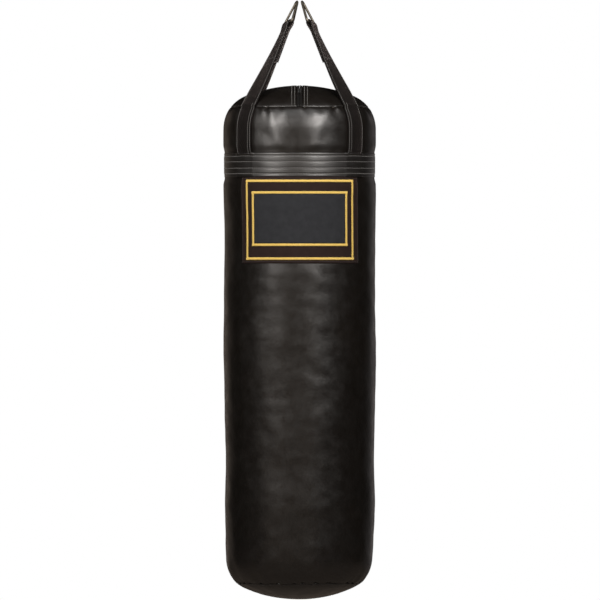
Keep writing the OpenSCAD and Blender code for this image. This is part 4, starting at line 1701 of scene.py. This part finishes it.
class HEAVYBAG_OT_zip(bpy.types.Operator):
    """Make the zip: tapes, coil teeth, end stops, slider and pull tab"""

    bl_idname = "heavybag.zip"
    bl_label = "Zip"

    def execute(self, context):
        surface = surface_of(context)
        sizes = context.scene.heavy_bag_zip
        seam_r = surface.at(surface.top_seam)[0]
        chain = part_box("zip_coil_right")[1].y
        across = np.linspace(TAPE_NEAR, sizes.tape_w, TAPE_COLUMNS)
        for name, side in (("left", -1.0), ("right", 1.0)):
            lines = []
            for x in across:
                bulge = float(smooth((SLOT_HALF - x) / TAPE_BULGE_FADE))
                lift = TAPE_BULGE * bulge - TAPE_DROP
                reach = math.sqrt(seam_r**2 - x**2) - TAPE_SHORT
                line, _ = crown_line(surface, side * x, reach, TAPE_POINTS, lift)
                lines.append(line)
            grid = np.stack(lines if side < 0 else lines[::-1], axis=1)
            run = np.linspace(-seam_r, seam_r, TAPE_POINTS)
            uvs = stacked(run[:, None], across[None, :])
            tape = patch_sheet(f"tape_{name}_sheet", grid, uvs)
            tape = thickened(tape, sizes.tape_t, f"woven_tape_{name}")
            node = f"zip_tape_{name}"
            set_finish(tape, finish("tape_weave"), "zip_tape", "bag", node)
            middle = side * (TAPE_NEAR + sizes.coil_w / 2)
            points, normals = crown_line(
                surface, middle, chain, COIL_POINTS, COIL_LIFT
            )
            shift = (points[1] - points[0]) * COIL_SHIFT * (side > 0)
            teeth = sew(
                f"coil_teeth_{name}",
                [row(points + shift, normals, TOOTH_WAY)],
                finish("coil_nylon"),
                sizes.coil_pitch,
                sizes.coil_w,
                sizes.coil_d,
                variation=COIL_VARIATION,
            )
            declare(teeth, "zip_coil", "bag", f"zip_coil_{name}")
        for node, body in (
            ("zip_stops", "bag"),
            ("zip_slider", "zip_slider"),
            ("zip_pull", "zip_pull"),
        ):
            cast = self.rounded(node, sizes.bevel)
            set_finish(cast, finish("zip_cast"), "zip_metal", body, node)
        return {"FINISHED"}

    def rounded(self, node, size):
        """A copy of a metal node with its edges rounded and its web thinned."""
        mesh = frame["nodes"][node].data.copy()
        work = bmesh.new()
        work.from_mesh(mesh)
        bmesh.ops.remove_doubles(work, verts=work.verts, dist=NEAR)
        bmesh.ops.dissolve_limit(
            work, angle_limit=FLAT_ANGLE, verts=work.verts, edges=work.edges
        )
        for vert in work.verts:
            if abs(vert.co.x) < WEB_HALF:
                vert.co.x *= WEB_SHARE
        work.to_mesh(mesh)
        work.free()
        cast = link(f"{node}_work", mesh)
        edge = cast.modifiers.new("edge", "BEVEL")
        edge.width = size
        edge.segments = 2
        edge.limit_method = "ANGLE"
        edge.angle_limit = METAL_ANGLE
        cast = baked(cast, f"cast_{node}")
        cast.data.shade_smooth()
        cast.data.set_sharp_from_angle(angle=METAL_ANGLE)
        return cast


SEAM_ROW_OFF = 0.0030
SEAM_ROW_POINTS = 400
SEAM_THREAD_OUT = 0.1
SEAM_VARIATION = 0.3
SEAM_THIN = 0.8
ZIP_ROW_L = 0.0042
ZIP_ROW_PITCH = 1.15
ZIP_ROW_SHORT = 0.002
ZIP_ROW_POINTS = 160
ZIP_THREAD_OUT = 0.2


class HEAVYBAG_OT_seam_stitches(bpy.types.Operator):
    """Sew the top and base seams, and the double rows beside the zip"""

    bl_idname = "heavybag.seam_stitches"
    bl_label = "Seam stitches"

    def execute(self, context):
        surface = surface_of(context)
        belt = context.scene.heavy_bag_belt
        theta = np.linspace(-math.pi, math.pi, SEAM_ROW_POINTS)
        thickness = SEAM_THIN * belt.thread_d
        parts = []
        for name, s, thread in (
            ("top", surface.top_seam - SEAM_ROW_OFF, "seam_thread"),
            ("base", surface.base_seam + SEAM_ROW_OFF, "base_thread"),
        ):
            s = np.full_like(theta, s)
            points = surface.points(theta, s, SEAM_THREAD_OUT * belt.thread_d)
            parts.append(
                sew(
                    f"{name}_seam_stitches",
                    [row(points, surface.normals(theta, s))],
                    finish(thread),
                    belt.stitch_pitch,
                    SEAM_THIN * belt.stitch_l,
                    thickness,
                    variation=SEAM_VARIATION,
                )
            )
        seam_r = surface.at(surface.top_seam)[0]
        rows = []
        lift = ZIP_THREAD_OUT * belt.thread_d
        for x in HEM_ROWS:
            reach = math.sqrt(seam_r**2 - x**2) - ZIP_ROW_SHORT
            for side in (-1.0, 1.0):
                line = crown_line(
                    surface, side * x, reach, ZIP_ROW_POINTS, lift, dented=True
                )
                rows.append(row(*line))
        parts.append(
            sew(
                "zip_hem_stitches",
                rows,
                finish("sewing_thread"),
                ZIP_ROW_L * ZIP_ROW_PITCH,
                ZIP_ROW_L,
                thickness,
            )
        )
        for part in parts:
            declare(part, "cover_vinyl", "bag")
        return {"FINISHED"}


LINING_COLUMNS = 144
LINING_STEP = 0.009
FOAM_COLUMNS = 120
FOAM_STEP = 0.012
FILL_STEP = 0.011
LINING_DROP = 0.0024
LINING_T = 0.0010
LINING_SLOT = 0.0156
FOAM_DROP = 0.0040
FOAM_T = 0.0118
FILL_FADE = 0.012
FILL_DROP = 0.0062
FILL_WALL_DROP = 0.0168


class HEAVYBAG_OT_filling(bpy.types.Operator):
    """Make what is inside: the lining, the foam wrap and the packed textile filling"""

    bl_idname = "heavybag.filling"
    bl_label = "Lining, foam and filling"

    def execute(self, context):
        surface = surface_of(context)
        end = surface.end - CROWN_HOLE
        ends = {"crown": True, "base": True}
        s = stations((CROWN_HOLE, end, LINING_STEP))
        lining = tube_sheet(
            "lining_sheet", surface, s, LINING_COLUMNS, -LINING_DROP, **ends
        )
        self.open_slot(lining, surface)
        lining = thickened(lining, LINING_T, "lining_cloth_bag")
        set_finish(lining, finish("lining_weave"), "lining_cloth", "bag", "lining")
        low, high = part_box("foam_wrap")
        wall = surface.length_at(np.array([high.z, low.z]))
        s = stations((*wall, FOAM_STEP))
        foam = tube_sheet("foam_sheet", surface, s, FOAM_COLUMNS, -FOAM_DROP)
        foam = thickened(foam, FOAM_T, "foam_roll")
        set_finish(foam, finish("foam_pores"), "foam", "bag", "foam_wrap")
        s = stations((CROWN_HOLE, end, FILL_STEP))
        inside = smooth((s - wall[0]) / FILL_FADE) * smooth((wall[1] - s) / FILL_FADE)
        drop_by = FILL_DROP + (FILL_WALL_DROP - FILL_DROP) * inside
        core = tube_sheet(
            "packed_filling", surface, s, FOAM_COLUMNS, -drop_by[:, None], **ends
        )
        set_finish(core, finish("filling_shreds"), "filling", "bag", "fill_core")
        return {"FINISHED"}

    def open_slot(self, obj, surface):
        """Opens the lining along the zip."""
        top_z = surface.at(surface.top_seam)[1] + LINING_DROP
        work = bmesh.new()
        work.from_mesh(obj.data)
        across, up = (1.0, 0.0, 0.0), (0.0, 0.0, 1.0)
        for place, normal in (
            ((LINING_SLOT, 0.0, 0.0), across),
            ((-LINING_SLOT, 0.0, 0.0), across),
            ((0.0, 0.0, top_z), up),
        ):
            everything = work.verts[:] + work.edges[:] + work.faces[:]
            bmesh.ops.bisect_plane(
                work, geom=everything, plane_co=place, plane_no=normal
            )
        opened = [
            face
            for face in work.faces
            if abs(face.calc_center_median().x) < LINING_SLOT
            and face.calc_center_median().z > top_z
        ]
        bmesh.ops.delete(work, geom=opened, context="FACES")
        work.to_mesh(obj.data)
        work.free()


# Stage

# Lamps at each side: turn, roll, height and share of power of the softbox, then the
# turn and tone of the rim lamp
SIDE_LAMPS = {
    "left": (-42.0, -12.0, 0.76, 1.0, -146.0, (1.0, 0.82, 0.68)),
    "right": (30.0, 12.0, 0.92, 1.45, 146.0, (1.0, 0.93, 0.93)),
}
SOFTBOX_AWAY = 2.2
SOFTBOX_SIZE = (0.5, 1.8)
SOFTBOX_TONE = (1.0, 0.96, 0.925)
BACK_SIZE = (0.5, 1.0)
BACK_Z = -0.95
RIM_AWAY = 2.0
RIM_SIZE = (0.9, 1.8)
# Cards that only gloss sees: grey in front and at the back, black at both sides
FLAG_FRONT = (-54.0, 26.0)
FLAG_BACK = 150.0
FLAG_AWAY = 3.2
FLAG_HEIGHTS = (-2.4, 2.2)
FLAG_SPLITS = {"back": (-2.4, -0.4), "hood": (-0.4, 2.2)}
FLAG_FRONTS = (-2.8, -1.4)
BLACK_CARD = (0.004, 0.004, 0.004)
FLAG_TONES = {
    "front": (0.32, 0.26, 0.21),
    "back": (0.24, 0.21, 0.19),
    "left": BLACK_CARD,
    "right": BLACK_CARD,
    "low": (0.145, 0.12, 0.10),
    "top": BLACK_CARD,
    "hood": BLACK_CARD,
}
FLAG_STEPS = 24
LOW_CARD_RISE = 0.05
FLOOR_R = 20.0
FLOOR_SIDES = 96
FLOOR_TONES = ((0.80, 0.80, 0.80), (0.84, 0.84, 0.84))
FLOOR_STREAKS = 3.0
FLOOR_GLOW = 1.0
WHITE = (1.0, 1.0, 1.0, 1.0)
SENSOR_W = 36.0


def around_bag(turn, away, z):
    """A place round the bag, at an angle from the front."""
    a = math.radians(turn)
    return (away * math.sin(a), -away * math.cos(a), z)


class HEAVYBAG_OT_stage(bpy.types.Operator):
    """Set the camera, the lamps, the surroundings, the flags and the floor"""

    bl_idname = "heavybag.stage"
    bl_label = "Stage"

    def lamp(self, name, turn, away, size, z, power, tone, roll=0.0):
        """A rectangular lamp that faces the bag."""
        light = bpy.data.lights.new(name, "AREA")
        light.shape = "RECTANGLE"
        light.size, light.size_y = size
        light.energy = power
        light.color = tone
        obj = bpy.data.objects.new(name, light)
        obj.location = around_bag(turn, away, z)
        obj.rotation_euler = (math.pi / 2, math.radians(roll), math.radians(turn))
        obj.visible_camera = False
        bpy.context.scene.collection.objects.link(obj)

    def surroundings(self, scene, fill):
        """White where the camera, gloss or glass sees it, and a soft fill elsewhere."""
        world = bpy.data.worlds.new("studio")
        scene.world = world
        world.use_nodes = True
        tree = world.node_tree
        tree.nodes.clear()
        path = add(tree, "ShaderNodeLightPath").outputs
        seen = calc(tree, "MAXIMUM", path["Is Camera Ray"], path["Is Glossy Ray"])
        seen = calc(tree, "MAXIMUM", seen, path["Is Transmission Ray"])
        mixed = add(tree, "ShaderNodeMixShader")
        feed(tree, mixed.inputs[0], seen)
        for socket, strength in ((mixed.inputs[1], fill), (mixed.inputs[2], 1.0)):
            light = add(tree, "ShaderNodeBackground")
            light.inputs["Color"].default_value = WHITE
            light.inputs["Strength"].default_value = strength
            tree.links.new(light.outputs[0], socket)
        out = add(tree, "ShaderNodeOutputWorld")
        tree.links.new(mixed.outputs[0], out.inputs["Surface"])

    def flag(self, name, points, faces):
        """A plain card that only gloss sees."""
        card = link(f"flag_{name}", bpy.data.meshes.new(f"flag_{name}"))
        card.data.from_pydata(points, [], faces)
        material, _ = new_material(
            f"flag_{name}", Base_Color=(*FLAG_TONES[name], 1.0), Specular_IOR_Level=0.0
        )
        card.data.materials.append(material)
        card.visible_camera = card.visible_diffuse = card.visible_shadow = False
        card.visible_transmission = False

    def flags(self, floor_z):
        """Grey cards before and behind the bag, and black ones at its sides."""
        left, right = FLAG_FRONT
        for name, start, end in (
            ("front", left, right),
            ("left", -FLAG_BACK, left),
            ("right", right, FLAG_BACK),
            ("back", FLAG_BACK, 360.0 - FLAG_BACK),
            ("hood", FLAG_BACK, 360.0 - FLAG_BACK),
        ):
            low, high = FLAG_SPLITS.get(name, FLAG_HEIGHTS)
            turns = np.radians(np.linspace(start, end, FLAG_STEPS))
            x, y = FLAG_AWAY * np.sin(turns), -FLAG_AWAY * np.cos(turns)
            points = [(a, b, z) for z in (low, high) for a, b in zip(x, y)]
            faces = [
                (i, i + 1, i + 1 + FLAG_STEPS, i + FLAG_STEPS)
                for i in range(FLAG_STEPS - 1)
            ]
            self.flag(name, points, faces)
        heights = (floor_z + LOW_CARD_RISE, FLAG_HEIGHTS[1])
        for name, z, front in zip(("low", "top"), heights, FLAG_FRONTS):
            points = [
                (x, y, z) for x in (-FLAG_AWAY, FLAG_AWAY) for y in (front, FLAG_AWAY)
            ]
            self.flag(name, points, [(0, 1, 3, 2)])

    def floor(self, z):
        """A plain pale floor under the bag."""
        mesh = bpy.data.meshes.new("floor")
        turns = np.linspace(0.0, 2 * math.pi, FLOOR_SIDES, endpoint=False)
        points = [(FLOOR_R * math.cos(a), FLOOR_R * math.sin(a), z) for a in turns]
        mesh.from_pydata(points, [], [tuple(range(FLOOR_SIDES))])
        material, shader = new_material("floor_paint", Specular_IOR_Level=0.0)
        nodes = material.node_tree
        worn = placed(material, patina_effect(), "Object", Fine=FLOOR_STREAKS)
        base = tint(nodes, worn["Streak"], *FLOOR_TONES)
        feed(nodes, shader.inputs["Base Color"], base)
        shader.inputs["Emission Color"].default_value = WHITE
        seen = add(nodes, "ShaderNodeLightPath").outputs["Is Camera Ray"]
        glow = calc(nodes, "MULTIPLY", seen, FLOOR_GLOW)
        feed(nodes, shader.inputs["Emission Strength"], glow)
        mesh.materials.append(material)
        link("floor", mesh)

    def execute(self, context):
        scene = context.scene
        stage = scene.heavy_bag_stage
        scene.view_settings.view_transform = "Standard"
        view = bpy.data.cameras.new("front_view")
        view.sensor_width = SENSOR_W
        view.lens = SENSOR_W * stage.distance / stage.view_w
        camera = bpy.data.objects.new("front_view", view)
        camera.location = (stage.aim_x, -stage.distance, stage.aim_z)
        camera.rotation_euler = (math.pi / 2, 0.0, 0.0)
        scene.collection.objects.link(camera)
        scene.camera = camera
        self.surroundings(scene, stage.fill)
        for name, (turn, roll, z, share, rim_turn, tone) in SIDE_LAMPS.items():
            self.lamp(
                f"softbox_{name}",
                turn,
                SOFTBOX_AWAY,
                SOFTBOX_SIZE,
                z,
                share * stage.key_power,
                SOFTBOX_TONE,
                roll,
            )
            self.lamp(
                f"rim_{name}",
                rim_turn,
                RIM_AWAY,
                RIM_SIZE,
                stage.aim_z,
                stage.rim_power,
                tone,
            )
        self.lamp(
            "softbox_back",
            180.0,
            SOFTBOX_AWAY,
            BACK_SIZE,
            BACK_Z,
            stage.back_power,
            SOFTBOX_TONE,
        )
        floor_z = BASE_Z - stage.floor_drop
        self.flags(floor_z)
        self.floor(floor_z)
        return {"FINISHED"}


STEPS = (
    "stage",
    "side_cover",
    "end_panels",
    "belt",
    "straps",
    "rings",
    "label",
    "zip",
    "seam_stitches",
    "filling",
)
SETTINGS = {
    "heavy_bag_cover": HeavyBagCover,
    "heavy_bag_belt": HeavyBagBelt,
    "heavy_bag_strap": HeavyBagStrap,
    "heavy_bag_label": HeavyBagLabel,
    "heavy_bag_zip": HeavyBagZip,
    "heavy_bag_colours": HeavyBagColours,
    "heavy_bag_stage": HeavyBagStage,
}


class HEAVYBAG_PT_panel(bpy.types.Panel):
    """Sizes, colours and steps of the heavy bag"""

    bl_idname = "HEAVYBAG_PT_panel"
    bl_label = "Heavy bag"
    bl_space_type = "VIEW_3D"
    bl_region_type = "UI"
    bl_category = "Heavy bag"

    def draw(self, context):
        layout = self.layout
        for step in STEPS:
            layout.operator(f"heavybag.{step}")
        for name, kind in SETTINGS.items():
            box = layout.box()
            box.label(text=kind.__doc__)
            for label in kind.__annotations__:
                box.prop(getattr(context.scene, name), label)


CLASSES = (
    *SETTINGS.values(),
    HEAVYBAG_OT_stage,
    HEAVYBAG_OT_side_cover,
    HEAVYBAG_OT_end_panels,
    HEAVYBAG_OT_belt,
    HEAVYBAG_OT_straps,
    HEAVYBAG_OT_rings,
    HEAVYBAG_OT_label,
    HEAVYBAG_OT_zip,
    HEAVYBAG_OT_seam_stitches,
    HEAVYBAG_OT_filling,
    HEAVYBAG_PT_panel,
)


def register():
    for kind in CLASSES:
        bpy.utils.register_class(kind)
    for name, kind in SETTINGS.items():
        setattr(bpy.types.Scene, name, PointerProperty(type=kind))


def unregister():
    for name in SETTINGS:
        delattr(bpy.types.Scene, name)
    for kind in reversed(CLASSES):
        bpy.utils.unregister_class(kind)


def main():
    register()
    for step in STEPS:
        getattr(bpy.ops.heavybag, step)()


if __name__ == "__main__":
    main()
